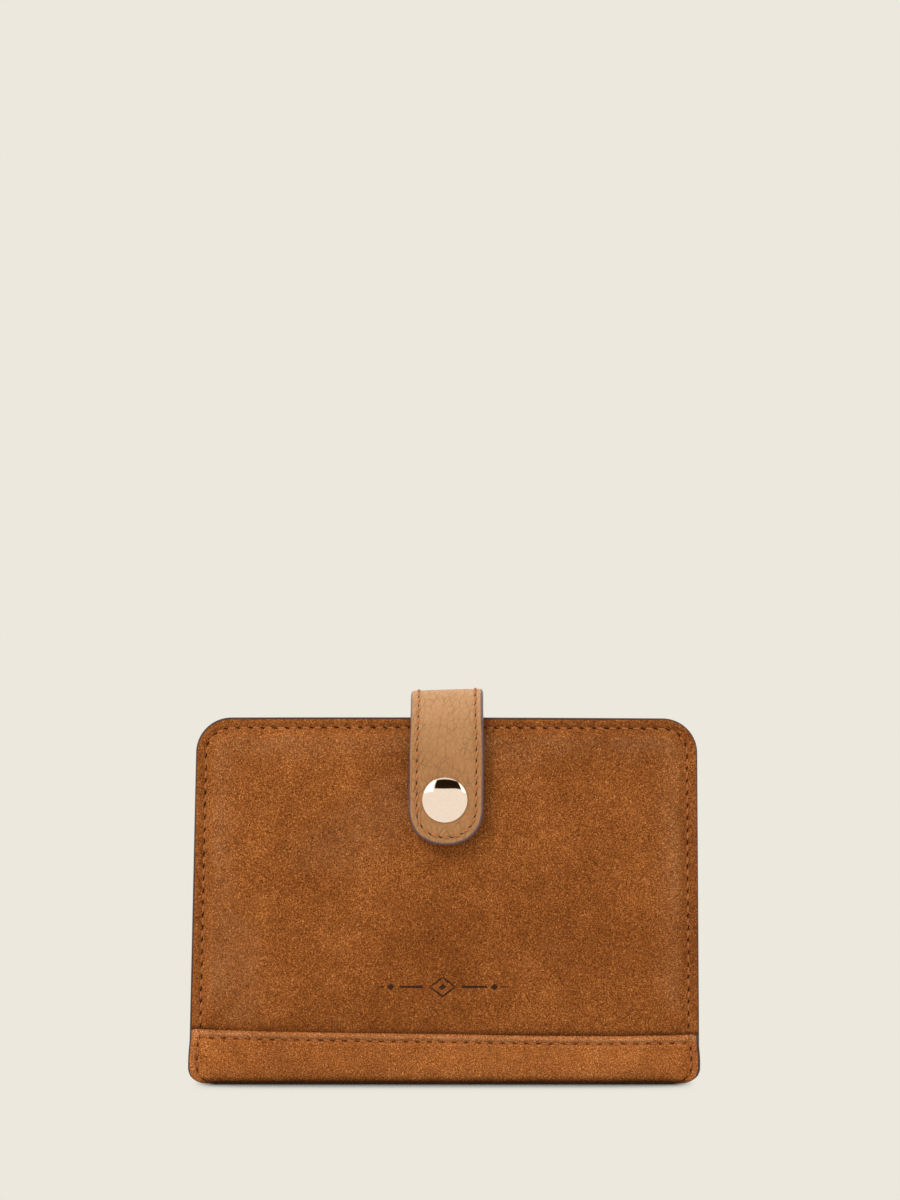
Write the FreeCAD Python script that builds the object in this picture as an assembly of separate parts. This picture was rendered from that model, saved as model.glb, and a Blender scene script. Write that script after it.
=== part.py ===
import FreeCAD, Part
import json
import math
import os

# ---------------------------------------------------------------------------
# Compact bifold wallet with a snap tab, standing on its spine.
# +Z up, +X along the spine, the front cover faces -Y.  The origin is the
# centre of the flat underside of the spine.  All lengths are millimetres.
#
# Both covers are built in one local frame (x, d, w):
#   x  along the spine
#   d  depth, inwards from the outer face of the cover's stitched rim
#   w  height up the cover, from the crease axis
# ---------------------------------------------------------------------------

V = FreeCAD.Vector

# overall body
T_SPINE = 29.0          # outside thickness across the spine
LEAN_DEG = 1.8          # each cover leans in by this much
CREASE_IN = 1.5         # crease axis, inside the outer face and above the base
STRIP_HALF = 70.75      # half length of the spine strip
STRIP_T = 1.2           # suede thickness of the strip
STRIP_TOP = 12.6        # height of the strip's front and back wings
STRIP_CORNER_R = 4.4    # rounding of the strip's lower corners
BASE_HALF = 66.6        # half length of the flat base

# covers
HALF_LOW = 70.3         # cover half width at the crease
HALF_TOP = 69.0         # cover half width at the free edge
COVER_TOP = 99.5        # free edge of the covers
CORNER_R = 9.4          # free corners
SUEDE_T = 1.2
PAD_T = 1.0             # foam between suede and board
PAD_INSET = 4.2         # raised panel starts this far in from the edge
BOARD_T = 0.8
LINING_T = 0.8
D_BOARD = SUEDE_T
D_LINING = D_BOARD + BOARD_T
D_IN = D_LINING + LINING_T          # 2.8, inner face of the lining

# threads
STITCH_IN = 2.6         # seam distance from the cover's edge
THREAD_W = 0.6
THREAD_H = 0.25

# banknote pockets behind both inner panels
BILL_GAP = 0.8
BILL_T = 0.8
BILL_TOP = 90.0
D_BILL = D_IN + BILL_GAP            # 3.6
D_BILL_IN = D_BILL + BILL_T         # 4.4

# coin pocket on the front cover
COIN_HALF = 61.0
COIN_LOW = 8.0
COIN_TOP = 86.0
COIN_DEEP = 5.6
COIN_WALL = 0.8
D_COIN = D_BILL_IN + COIN_DEEP      # 10.0, inner face of the pocket's panel
COIN_T = 0.8
ZIP_W = 72.0            # height of the zip's centre line
ZIP_SLOT = 4.4          # half the height of the slot that the zip shows in
TAPE_T = 0.5
TOOTH_PITCH = 2.5
TOOTH_X = 1.15
TOOTH_T = 2.2
CHAIN_LEFT = -54.0
CHAIN_RIGHT = 46.5
SLIDER_X = 50.5         # slider centre with the zip closed
SLIDER_L = 9.0
ZIP_TRAVEL = 92.0
RING_R = 3.5
RING_WIRE = 0.5

# card pockets on the back cover
CARD_HALF = 65.5
CARD_T = 0.7
CARD_SLOT = 0.3
CARD_TOPS = (84.0, 73.0, 62.0)

# snap and tab
SNAP_W = 76.5           # height of the snap up the cover
SNAP_GAP = 2.6          # suede panel to the tab's inner face
CAP_R = 6.25
CAP_H = 1.5
POST_R = 1.5
HOLE_R = 1.6
TAB_T = 2.3
TAB_BACKING_T = 1.1
TAB_HALF = 10.2
TAB_HALF_TOP = 9.8
TAB_TOP_IN = 106.6      # height of the arch's inner face
TAB_R = 8.0             # inner bend radius of the arch
TAB_TIP = 66.0          # lowest point of the tab's front end
TAB_LEG = 72.5          # lower end of the sewn leg at the back
ROOT_GAP = 0.8
END_GAP = 1.7

A = T_SPINE / 2 - CREASE_IN
D_AX = -STRIP_T + CREASE_IN
LEAN = math.radians(LEAN_DEG)
SIN, COS = math.sin(LEAN), math.cos(LEAN)
NODES = {}


def half_width(w):
    return HALF_LOW + (HALF_TOP - HALF_LOW) * w / COVER_TOP


def rounded_edges(points, radii, to3d):
    """Closed outline of straight edges and tangent arcs."""
    n = len(points)
    cut = []
    for i in range(n):
        p, a, b = points[i], points[i - 1], points[(i + 1) % n]
        u = (a[0] - p[0], a[1] - p[1])
        v = (b[0] - p[0], b[1] - p[1])
        lu, lv = math.hypot(*u), math.hypot(*v)
        u, v = (u[0] / lu, u[1] / lu), (v[0] / lv, v[1] / lv)
        r = radii[i]
        if r <= 0:
            cut.append((p, None, p))
            continue
        half = math.acos(max(-1.0, min(1.0, u[0] * v[0] + u[1] * v[1]))) / 2
        t = r / math.tan(half)
        p1 = (p[0] + u[0] * t, p[1] + u[1] * t)
        p2 = (p[0] + v[0] * t, p[1] + v[1] * t)
        m = (u[0] + v[0], u[1] + v[1])
        lm = math.hypot(*m)
        far = r / math.sin(half)
        c = (p[0] + m[0] / lm * far, p[1] + m[1] / lm * far)
        mid = (c[0] - m[0] / lm * r, c[1] - m[1] / lm * r)
        cut.append((p1, mid, p2))
    edges = []
    for i in range(n):
        p1, mid, p2 = cut[i]
        if mid is not None:
            edges.append(Part.Arc(to3d(p1), to3d(mid), to3d(p2)).toShape())
        q = cut[(i + 1) % n][0]
        if math.hypot(q[0] - p2[0], q[1] - p2[1]) > 1e-6:
            edges.append(Part.LineSegment(to3d(p2), to3d(q)).toShape())
    return edges


def prism(points, radii, d0, d1):
    """Outline in x and w, extruded in depth from d0 to d1."""
    edges = rounded_edges(points, radii, lambda p: V(p[0], d0, p[1]))
    return Part.Face(Part.Wire(edges)).extrude(V(0, d1 - d0, 0))


def cover_plate(d0, d1, inset=0.0, low=0.0, top=COVER_TOP, low_r=0.0):
    top = top - inset if top == COVER_TOP else top
    a, b = half_width(low) - inset, half_width(top) - inset
    r = max(CORNER_R - inset, 1.0) if top > BILL_TOP + 1 else 1.0
    return prism([(-a, low), (a, low), (b, top), (-b, top)], [low_r, low_r, r, r], d0, d1)


def box(x0, x1, d0, d1, w0, w1):
    return Part.makeBox(x1 - x0, d1 - d0, w1 - w0, V(x0, d0, w0))


def rod(x, w, r, d0, d1):
    return Part.makeCylinder(r, d1 - d0, V(x, d0, w), V(0, 1, 0))


def turned(profile, x, w, d):
    """Profile of (radius, depth) points, turned about the depth axis."""
    pts = [V(x + r, d + s, w) for r, s in profile]
    wire = Part.makePolygon(pts + [pts[0]])
    return Part.Face(wire).revolve(V(x, d, w), V(0, 1, 0), 360)


def to_front(shape):
    s = shape.copy()
    s.translate(V(0, -D_AX, 0))
    s.rotate(V(0, 0, 0), V(1, 0, 0), -LEAN_DEG)
    s.translate(V(0, -A, CREASE_IN))
    return s


def to_back(shape):
    return to_front(shape).mirror(V(0, 0, 0), V(0, 1, 0))


def front_yz(d, w):
    return (-A + (d - D_AX) * COS + w * SIN, CREASE_IN + w * COS - (d - D_AX) * SIN)


def back_yz(d, w):
    y, z = front_yz(d, w)
    return (-y, z)


def keep(name, shape):
    solids = [s for s in shape.Solids]
    bad = [s for s in solids if not s.isValid() or s.Volume <= 0]
    if not solids or bad:
        raise SystemExit(f"{name}: {len(solids)} solids, {len(bad)} bad")
    NODES[name] = solids[0] if len(solids) == 1 else Part.makeCompound(solids)


def fused(shapes):
    out = shapes[0]
    for s in shapes[1:]:
        out = out.fuse(s)
    return out.removeSplitter()


# ---------------------------------------------------------------------------
# spine: flat suede base and its lining
# ---------------------------------------------------------------------------
gap = 0.6
base = Part.makeBox(2 * BASE_HALF, 2 * (A - gap), STRIP_T, V(-BASE_HALF, -(A - gap), 0))
base = base.makeFillet(2.5, [e for e in base.Edges if abs(e.Vertexes[0].Z - e.Vertexes[-1].Z) > 1])
keep("spine_strip_base", base)
keep("spine_lining", Part.makeBox(2 * 66.0, 17.0, LINING_T, V(-66.0, -8.5, STRIP_T)))


# ---------------------------------------------------------------------------
# one cover: suede, foam, board, lining, wing of the spine strip, threads
# ---------------------------------------------------------------------------
def cover(place, side, snap):
    hole = rod(0, SNAP_W, HOLE_R, -3, D_IN + 1) if snap else None

    def bored(shape):
        return shape.cut(hole) if hole is not None else shape

    pad_low = STRIP_TOP + 1.6
    rim = cover_plate(0, SUEDE_T, low=3.5)
    raised = cover_plate(-PAD_T, SUEDE_T * 0.5, inset=PAD_INSET, low=pad_low, low_r=4.0)
    room = cover_plate(SUEDE_T - PAD_T, SUEDE_T, inset=PAD_INSET + 1.0, low=pad_low + 1.0, low_r=3.0)
    suede = fused([rim, raised]).cut(room)
    keep(f"{side}_suede_panel", place(bored(suede)))
    keep(f"{side}_padding", place(bored(room)))
    keep(f"{side}_board", place(bored(cover_plate(D_BOARD, D_LINING, inset=0.6, low=3.0))))
    keep(f"{side}_lining", place(bored(cover_plate(D_LINING, D_IN, low=1.6))))

    r = STRIP_CORNER_R
    wing = prism(
        [(-STRIP_HALF, 0.5), (STRIP_HALF, 0.5), (STRIP_HALF, STRIP_TOP), (-STRIP_HALF, STRIP_TOP)],
        [r, r, 0.8, 0.8], -STRIP_T, 0)
    keep(f"spine_strip_{side}_wing", place(wing))

    # needle thread round the rim and down the strip's ends
    outer = cover_plate(-THREAD_H, 0, inset=STITCH_IN - THREAD_W / 2, low=STRIP_TOP + 0.2)
    inner = cover_plate(-THREAD_H - 1, 1, inset=STITCH_IN + THREAD_W / 2, low=STRIP_TOP - 5)
    ends = [box(s * 67.6 - THREAD_W / 2, s * 67.6 + THREAD_W / 2, -STRIP_T - THREAD_H, -STRIP_T, 2.0, STRIP_TOP - 0.4)
            for s in (-1, 1)]
    keep(f"{side}_edge_thread", place(Part.makeCompound([outer.cut(inner)] + ends)))
    keep(f"{side}_seam_thread", place(box(-66.8, 66.8, -STRIP_T - THREAD_H, -STRIP_T, STRIP_TOP - 2.2, STRIP_TOP - 1.6)))

    # banknote panel, sewn down on three sides, open along the top
    panel = cover_plate(D_IN, D_BILL_IN, inset=0.3, low=3.0, top=BILL_TOP)
    slot = cover_plate(D_IN - 1, D_BILL, inset=4.6, low=7.0, top=BILL_TOP + 5, low_r=1.0)
    keep(f"{side}_bill_panel", place(panel.cut(slot)))

    # bobbin thread on the inside: down both sides of the panel, and over the lining above it
    a = half_width(45) - STITCH_IN
    bars = [box(s * a - THREAD_W / 2, s * a + THREAD_W / 2, D_BILL_IN, D_BILL_IN + THREAD_H, 4.5, BILL_TOP - 1.0)
            for s in (-1, 1)]
    outer = cover_plate(D_IN, D_IN + THREAD_H, inset=STITCH_IN - THREAD_W / 2, low=50)
    inner = cover_plate(D_IN - 1, D_IN + 1, inset=STITCH_IN + THREAD_W / 2, low=40)
    upper = outer.cut(inner).common(box(-80, 80, D_IN - 1, D_IN + 1, BILL_TOP + 0.3, 120))
    keep(f"{side}_inner_thread", place(Part.makeCompound([upper] + bars)))


cover(to_front, "front", True)
cover(to_back, "back", False)

# ---------------------------------------------------------------------------
# coin pocket on the inside of the front cover
# ---------------------------------------------------------------------------
h, lo, hi = COIN_HALF, COIN_LOW, COIN_TOP
ring = prism([(-h, lo), (h, lo), (h, hi), (-h, hi)], [4.0] * 4, D_BILL_IN, D_COIN)
hollow = prism([(-h + COIN_WALL, lo + COIN_WALL), (h - COIN_WALL, lo + COIN_WALL),
                (h - COIN_WALL, hi - COIN_WALL), (-h + COIN_WALL, hi - COIN_WALL)],
               [4.0 - COIN_WALL] * 4, D_BILL_IN - 1, D_COIN + 1)
keep("coin_gusset", to_front(ring.cut(hollow)))
z0, z1 = ZIP_W - ZIP_SLOT, ZIP_W + ZIP_SLOT
keep("coin_panel_lower", to_front(prism([(-h, lo), (h, lo), (h, z0), (-h, z0)], [4.0, 4.0, 0.4, 0.4], D_COIN, D_COIN + COIN_T)))
keep("coin_panel_upper", to_front(prism([(-h, z1), (h, z1), (h, hi), (-h, hi)], [0.4, 0.4, 4.0, 4.0], D_COIN, D_COIN + COIN_T)))

D_TAPE = D_COIN - TAPE_T
TOOTH_LOW, TOOTH_HIGH = ZIP_W - 2.4, ZIP_W + 2.4
keep("zip_tape_lower", to_front(box(-59.4, 59.4, D_TAPE, D_COIN, z0 - 6.0, TOOTH_LOW)))
keep("zip_tape_upper", to_front(box(-59.4, 59.4, D_TAPE, D_COIN, TOOTH_HIGH, z1 + 6.0)))
d_mid = (D_TAPE + D_COIN) / 2
lower, upper = [], []
x = CHAIN_LEFT
while x + TOOTH_PITCH <= CHAIN_RIGHT:
    lower.append(box(x, x + TOOTH_X, d_mid - TOOTH_T / 2, d_mid + TOOTH_T / 2, TOOTH_LOW, ZIP_W + 0.8))
    x2 = x + TOOTH_PITCH / 2
    upper.append(box(x2, x2 + TOOTH_X, d_mid - TOOTH_T / 2, d_mid + TOOTH_T / 2, ZIP_W - 0.8, TOOTH_HIGH))
    x += TOOTH_PITCH
keep("zip_teeth_lower", to_front(Part.makeCompound(lower)))
keep("zip_teeth_upper", to_front(Part.makeCompound(upper)))
stops = [box(-57.4, -54.6, d_mid - 1.0, d_mid + 1.0, ZIP_W - 2.3, ZIP_W + 2.3)]
stops += [box(56.0, 57.6, d_mid - 1.0, d_mid + 1.0, a0, a0 + 1.6) for a0 in (TOOTH_LOW + 0.1, TOOTH_HIGH - 1.7)]
keep("zip_end_stops", to_front(Part.makeCompound(stops)))

# thread: pocket outline on the panel's face, and one row beside the zip on each side
t0, t1 = D_COIN + COIN_T, D_COIN + COIN_T + THREAD_H
bars = [
    box(-h + 2.2, h - 2.2, t0, t1, z0 - 2.4, z0 - 1.8),
    box(-h + 2.2, h - 2.2, t0, t1, z1 + 1.8, z1 + 2.4),
    box(-h + 4.0, h - 4.0, t0, t1, lo + 1.6, lo + 2.2),
    box(-h + 4.0, h - 4.0, t0, t1, hi - 2.2, hi - 1.6),
]
for s in (-1, 1):
    xa = s * (h - 1.9)
    bars.append(box(xa - 0.3, xa + 0.3, t0, t1, lo + 4.0, z0 - 3.0))
    bars.append(box(xa - 0.3, xa + 0.3, t0, t1, z1 + 3.0, hi - 4.0))
keep("coin_pocket_thread", to_front(Part.makeCompound(bars)))

# slider: two plates, flanges with a slit for the tape, and the wedge that joins them
sx0, sx1 = SLIDER_X - SLIDER_L / 2, SLIDER_X + SLIDER_L / 2
sw = 4.2
top_plate = prism([(sx0, ZIP_W - 3.2), (sx1, ZIP_W - sw), (sx1, ZIP_W + sw), (sx0, ZIP_W + 3.2)],
                  [0.8, 1.6, 1.6, 0.8], D_COIN + 1.15, D_COIN + 2.1)
low_plate = prism([(sx0, ZIP_W - 3.2), (sx1, ZIP_W - sw), (sx1, ZIP_W + sw), (sx0, ZIP_W + 3.2)],
                  [0.8, 1.6, 1.6, 0.8], D_TAPE - 2.2, D_TAPE - 1.3)
flanges = []
for s in (-1, 1):
    for d0, d1 in ((D_COIN + 0.35, D_COIN + 1.2), (D_TAPE - 1.35, D_TAPE - 0.35)):
        a0, a1 = sorted((s * 2.6, s * 3.2))
        flanges.append(box(sx0 + 0.8, sx0 + 5.0, d0, d1, ZIP_W + a0, ZIP_W + a1))
wedge = prism([(52.6, ZIP_W - 0.2), (54.6, ZIP_W - 1.1), (54.6, ZIP_W + 1.1), (52.6, ZIP_W + 0.2)], [0.0] * 4,
              D_TAPE - 1.35, D_COIN + 1.2)
ring_x = SLIDER_X + 1.2
ring_d = D_COIN + 3.5
bail_x = ring_x - RING_R
bail_out = box(bail_x - 2.2, bail_x + 2.2, D_COIN + 2.0, D_COIN + 4.9, ZIP_W - 0.7, ZIP_W + 0.7)
bail_out = bail_out.makeFillet(0.9, [e for e in bail_out.Edges
                                     if abs(e.Vertexes[0].Z - e.Vertexes[-1].Z) > 1 and e.Vertexes[0].Y > D_COIN + 4.5])
bail_in = box(bail_x - 1.4, bail_x + 1.4, D_COIN + 2.1, D_COIN + 4.3, ZIP_W - 1, ZIP_W + 1)
slider = fused([top_plate, wedge, low_plate] + flanges + [bail_out.cut(bail_in)])
keep("zip_slider", to_front(slider))
keep("zip_ring", to_front(Part.makeTorus(RING_R, RING_WIRE, V(ring_x, ring_d, ZIP_W), V(0, 1, 0))))

# pull: a folded leather tag whose loop runs round the ring
loop = box(ring_x - 2.0, ring_x + 2.0, ring_d - 1.1, ring_d + 1.1, ZIP_W - RING_R - 1.9, ZIP_W - RING_R + 1.1)
tag = prism([(ring_x - 3.4, ZIP_W - 31.0), (ring_x + 3.4, ZIP_W - 31.0), (ring_x + 3.4, ZIP_W - 7.0), (ring_x + 2.0, ZIP_W - 5.2),
             (ring_x - 2.0, ZIP_W - 5.2), (ring_x - 3.4, ZIP_W - 7.0)], [3.0, 3.0, 0.8, 0.0, 0.0, 0.8], ring_d - 1.0, ring_d + 1.0)
round_way = Part.makeTorus(RING_R, RING_WIRE + 0.2, V(ring_x, ring_d, ZIP_W), V(0, 1, 0))
keep("zip_pull_tag", to_front(fused([loop, tag]).cut(round_way)))

# ---------------------------------------------------------------------------
# card pockets on the inside of the back cover: three sheets, two columns
# ---------------------------------------------------------------------------
d = D_BILL_IN
for name, top in zip(("rear", "middle", "front"), CARD_TOPS):
    c = CARD_HALF
    sheet = prism([(-c, 4.0), (c, 4.0), (c, top), (-c, top)], [1.5, 1.5, 0.6, 0.6], d, d + CARD_SLOT + CARD_T)
    for s in (-1, 1):
        a0, a1 = sorted((s * 1.2, s * 59.6))
        sheet = sheet.cut(box(a0, a1, d - 1, d + CARD_SLOT, 8.0, top + 5))
    keep(f"card_pocket_{name}", to_back(sheet))
    d += CARD_SLOT + CARD_T
D_CARDS = d
bars = [box(s * 60.2 - 0.3, s * 60.2 + 0.3, d, d + THREAD_H, 6.0, CARD_TOPS[2] - 0.6) for s in (-1, 1)]
bars.append(box(-0.3, 0.3, d, d + THREAD_H, 6.0, CARD_TOPS[2] - 0.6))
bars.append(box(-CARD_HALF + 1.6, CARD_HALF - 1.6, d, d + THREAD_H, 5.0, 5.6))
for k, (w0, w1) in enumerate(((CARD_TOPS[1] + 0.3, CARD_TOPS[0] - 0.6), (CARD_TOPS[2] + 0.3, CARD_TOPS[1] - 0.6))):
    dd = D_BILL_IN + (k + 1) * (CARD_SLOT + CARD_T)
    for xa in (-60.2, 0.0, 60.2):
        bars.append(box(xa - 0.3, xa + 0.3, dd, dd + THREAD_H, w0, w1))
keep("card_pocket_thread", to_back(Part.makeCompound(bars)))

# ---------------------------------------------------------------------------
# snap: stud and its rivet on the front cover, socket and cap on the tab
# ---------------------------------------------------------------------------
s0 = -PAD_T                          # suede face; depths below are outwards, so negative
stud = turned([(0, 0), (4.4, 0), (4.4, -0.35), (4.1, -0.6), (1.8, -0.6), (1.8, -0.95), (2.1, -1.2), (2.1, -1.65),
               (1.8, -1.95), (1.2, -2.1), (0, -2.1)], 0, SNAP_W, s0)
keep("snap_stud", to_front(stud))
rivet = fused([rod(0, SNAP_W, POST_R, s0, D_IN + 0.1), turned([(0, 0), (4.2, 0), (4.2, 0.3), (3.6, 0.5), (0, 0.5)], 0, SNAP_W, D_IN)])
keep("snap_stud_rivet", to_front(rivet))
t_in = s0 - SNAP_GAP                 # tab's inner face
socket = turned([(0, 0), (5.1, 0), (5.1, 0.7), (4.6, 1.0), (4.6, 1.7), (2.7, 1.7), (2.7, 0.2), (0, 0.2)], 0, SNAP_W, t_in)
keep("snap_socket", to_front(socket))
t_out = t_in - TAB_T
cap = turned([(0, 0), (CAP_R - 0.15, 0), (CAP_R, -0.2), (CAP_R, -0.45), (CAP_R - 0.45, -0.9), (CAP_R - 1.4, -1.22),
              (CAP_R - 3.0, -1.42), (0, -CAP_H)], 0, SNAP_W, t_out)
post = rod(0, SNAP_W, POST_R, t_out - 0.1, t_in)
keep("snap_cap", to_front(fused([cap, post])))


# ---------------------------------------------------------------------------
# tab: two leather layers that rise from the back cover, arch over and hang in front
# ---------------------------------------------------------------------------
def path(off):
    """Corner points in y and z of the tab's line, at this distance outside its inner face."""
    def at_height(line, z, out):
        (y0, z0_), (y1, z1_) = line(out, 60.0), line(out, 100.0)
        return y0 + (y1 - y0) * (z - z0_) / (z1_ - z0_)
    top = TAB_TOP_IN + off
    rear = lambda out, w: back_yz(-PAD_T - out, w)
    front = lambda out, w: front_yz(t_in - out, w)
    return [
        (at_height(rear, 50.0, off), 50.0),
        (at_height(rear, top, off), top),
        (at_height(front, top, off), top),
        (at_height(front, 50.0, off), 50.0),
    ]


def arch(off0, off1, half):
    """The whole tab between two offsets, as an arch of this half width."""
    a, b = path(off0), path(off1)
    pts = a + b[::-1]
    radii = [0, TAB_R + off0, TAB_R + off0, 0, 0, TAB_R + off1, TAB_R + off1, 0]
    edges = rounded_edges(pts, radii, lambda p: V(-half, p[0], p[1]))
    return Part.Face(Part.Wire(edges)).extrude(V(2 * half, 0, 0))


mid = path(TAB_T / 2)
r_mid = TAB_R + TAB_T / 2


def bend_centre(corner, before, after):
    """Centre of the bend, and the direction from it to the middle of the bend."""
    u = (before[0] - corner[0], before[1] - corner[1])
    v = (after[0] - corner[0], after[1] - corner[1])
    lu, lv = math.hypot(*u), math.hypot(*v)
    u, v = (u[0] / lu, u[1] / lu), (v[0] / lv, v[1] / lv)
    half = math.acos(u[0] * v[0] + u[1] * v[1]) / 2
    m = (u[0] + v[0], u[1] + v[1])
    lm = math.hypot(*m)
    m = (m[0] / lm, m[1] / lm)
    far = r_mid / math.sin(half)
    c = (corner[0] + m[0] * far, corner[1] + m[1] * far)
    return c, (-m[0], -m[1])


c_root, n_root = bend_centre(mid[1], mid[0], mid[2])
c_end, n_end = bend_centre(mid[2], mid[1], mid[3])
H_ROOT = (c_root[0] + n_root[0] * r_mid, c_root[1] + n_root[1] * r_mid)
H_END = (c_end[0] + n_end[0] * r_mid, c_end[1] + n_end[1] * r_mid)


def half_space(point, normal):
    """A big block on the side of the plane that the normal points to, in y and z."""
    s = Part.makeBox(80, 200, 200, V(-40, 0, -100))
    ang = math.degrees(math.atan2(normal[1], normal[0]))
    s.rotate(V(0, 0, 0), V(1, 0, 0), ang)
    s.translate(V(0, point[0], point[1]))
    return s


def cut_at(h, n, gap_, forward):
    """Block beyond the bend's middle by gap_, towards the tab's end if forward, else towards its root."""
    tangent = (-n[1], n[0])          # turning the normal towards -Y, which is the way to the tab's end
    if not forward:
        tangent = (-tangent[0], -tangent[1])
    return half_space((h[0] + tangent[0] * gap_, h[1] + tangent[1] * gap_), tangent)


root_side = cut_at(H_ROOT, n_root, ROOT_GAP, False)
past_root = cut_at(H_ROOT, n_root, ROOT_GAP, True)
before_end = cut_at(H_END, n_end, END_GAP, False)
end_side = cut_at(H_END, n_end, END_GAP, True)

# outlines seen from the front
def leg_outline(inset):
    a = TAB_HALF - inset
    p = [(-a, TAB_LEG + inset), (a, TAB_LEG + inset), (TAB_HALF_TOP - inset, 120), (-TAB_HALF_TOP + inset, 120)]
    return prism(p, [3.0 - inset * 0.6, 3.0 - inset * 0.6, 0, 0], -60, 60)


def end_outline(inset):
    a = TAB_HALF - inset
    wide = prism([(-a, TAB_TIP + TAB_HALF), (a, TAB_TIP + TAB_HALF), (a, 95.0), (TAB_HALF_TOP - inset, 109.5), (TAB_HALF_TOP - inset, 120),
                  (-TAB_HALF_TOP + inset, 120), (-TAB_HALF_TOP + inset, 109.5), (-a, 95.0)], [0, 0, 20, 20, 0, 0, 20, 20], -60, 60)
    tip = Part.makeCylinder(a, 120, V(0, -60, TAB_TIP + TAB_HALF), V(0, 1, 0))
    return wide.fuse(tip).removeSplitter()


def bridge_outline(inset):
    a = TAB_HALF_TOP - inset
    return Part.makeBox(2 * a, 120, 120, V(-a, -60, 60))


rear_half = Part.makeBox(80, 100, 200, V(-40, (H_ROOT[0] + H_END[0]) / 2, 0))
front_half = Part.makeBox(80, 100, 200, V(-40, (H_ROOT[0] + H_END[0]) / 2 - 100, 0))
post_hole = to_front(rod(0, SNAP_W, HOLE_R, -12, t_in + 1))


def tab_part(layer, which, inset=0.0):
    if which == "root":
        return layer.common(root_side).common(rear_half).common(leg_outline(inset))
    if which == "bridge":
        # the planes cut both legs away, so no more than the arch's top is left
        return layer.common(past_root).common(before_end).common(bridge_outline(inset))
    return layer.common(end_side).common(front_half).common(end_outline(inset)).cut(post_hole)


backing = arch(0, TAB_BACKING_T, TAB_HALF)
face = arch(TAB_BACKING_T, TAB_T, TAB_HALF)
thread = arch(TAB_T, TAB_T + 0.2, TAB_HALF)
for which in ("root", "bridge", "end"):
    keep(f"tab_{which}_backing", tab_part(backing, which))
    keep(f"tab_{which}_face", tab_part(face, which))
    seam = tab_part(thread, which, 1.6).cut(
        {"root": leg_outline, "bridge": bridge_outline, "end": end_outline}[which](2.1))
    keep(f"tab_{which}_thread", seam)

# ---------------------------------------------------------------------------
os.makedirs("parts", exist_ok=True)
for old in os.listdir("parts"):
    if old.endswith(".step") and old[:-5] not in NODES:
        os.remove(os.path.join("parts", old))
for name, shape in NODES.items():
    shape.exportStep(os.path.join("parts", name + ".step"))

ring_yz = front_yz(ring_d, ZIP_W)
inward = (COS, -SIN)
print(json.dumps({
    "nodes": len(NODES),
    "crease_y": A, "crease_z": CREASE_IN,
    "h_root": H_ROOT, "h_end": H_END,
    "ring": [ring_x, ring_yz[0], ring_yz[1]],
    "inward": inward,
    "d_cards": D_CARDS,
    "top_z": front_yz(0, COVER_TOP)[1],
    "coin": [front_yz(D_BILL_IN, 12), front_yz(D_TAPE, 12), front_yz(D_BILL_IN, 60), front_yz(D_TAPE, 60)],
    "snap": front_yz(s0, SNAP_W),
    "volumes": {n: round(s.Volume, 1) for n, s in NODES.items()},
}))
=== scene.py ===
import math
import random

import bmesh
import bpy
import numpy as np
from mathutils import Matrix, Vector, noise


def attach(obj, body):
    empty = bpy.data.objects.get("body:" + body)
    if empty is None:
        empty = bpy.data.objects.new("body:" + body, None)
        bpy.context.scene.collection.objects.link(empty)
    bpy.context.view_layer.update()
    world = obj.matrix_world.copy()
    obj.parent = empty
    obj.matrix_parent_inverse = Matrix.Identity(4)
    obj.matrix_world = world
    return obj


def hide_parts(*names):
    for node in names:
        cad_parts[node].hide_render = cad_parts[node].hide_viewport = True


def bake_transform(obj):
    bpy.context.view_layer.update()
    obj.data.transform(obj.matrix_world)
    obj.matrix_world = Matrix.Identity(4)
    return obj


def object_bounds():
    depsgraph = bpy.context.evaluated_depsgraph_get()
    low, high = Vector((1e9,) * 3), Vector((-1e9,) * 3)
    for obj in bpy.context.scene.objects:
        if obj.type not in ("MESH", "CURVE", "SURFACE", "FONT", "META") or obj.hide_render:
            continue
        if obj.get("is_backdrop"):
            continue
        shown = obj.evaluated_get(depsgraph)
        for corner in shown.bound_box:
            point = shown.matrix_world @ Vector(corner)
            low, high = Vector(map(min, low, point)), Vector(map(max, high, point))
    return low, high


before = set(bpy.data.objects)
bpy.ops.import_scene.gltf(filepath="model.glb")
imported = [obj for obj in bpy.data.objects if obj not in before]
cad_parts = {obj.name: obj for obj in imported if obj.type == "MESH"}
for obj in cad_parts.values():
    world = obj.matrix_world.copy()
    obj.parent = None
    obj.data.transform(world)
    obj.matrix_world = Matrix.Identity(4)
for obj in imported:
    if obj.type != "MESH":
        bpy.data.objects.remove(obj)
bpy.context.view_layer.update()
rng = random.Random(7)

# ---------------------------------------------------------------------------
# the wallet's own numbers, in millimetres, as in the CAD
# ---------------------------------------------------------------------------
T_SPINE, LEAN_DEG, CREASE_IN = 29.0, 1.8, 1.5
STRIP_T, STRIP_TOP, STRIP_HALF, BASE_HALF = 1.2, 12.6, 70.75, 66.6
HALF_LOW, HALF_TOP, COVER_TOP, CORNER_R = 70.3, 69.0, 99.5, 9.4
A = T_SPINE / 2 - CREASE_IN
D_AX = -STRIP_T + CREASE_IN
LEAN = math.radians(LEAN_DEG)
SIN, COS = math.sin(LEAN), math.cos(LEAN)
D_IN, D_BILL, D_BILL_IN, BILL_TOP = 2.8, 3.6, 4.4, 90.0
COIN_HALF, COIN_LOW, COIN_TOP, D_COIN, COIN_T = 61.0, 8.0, 86.0, 10.0, 0.8
ZIP_W, ZIP_SLOT, TAPE_T = 72.0, 4.4, 0.5
CHAIN_LEFT, CHAIN_RIGHT, TOOTH_PITCH = -54.0, 46.5, 2.5
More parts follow.
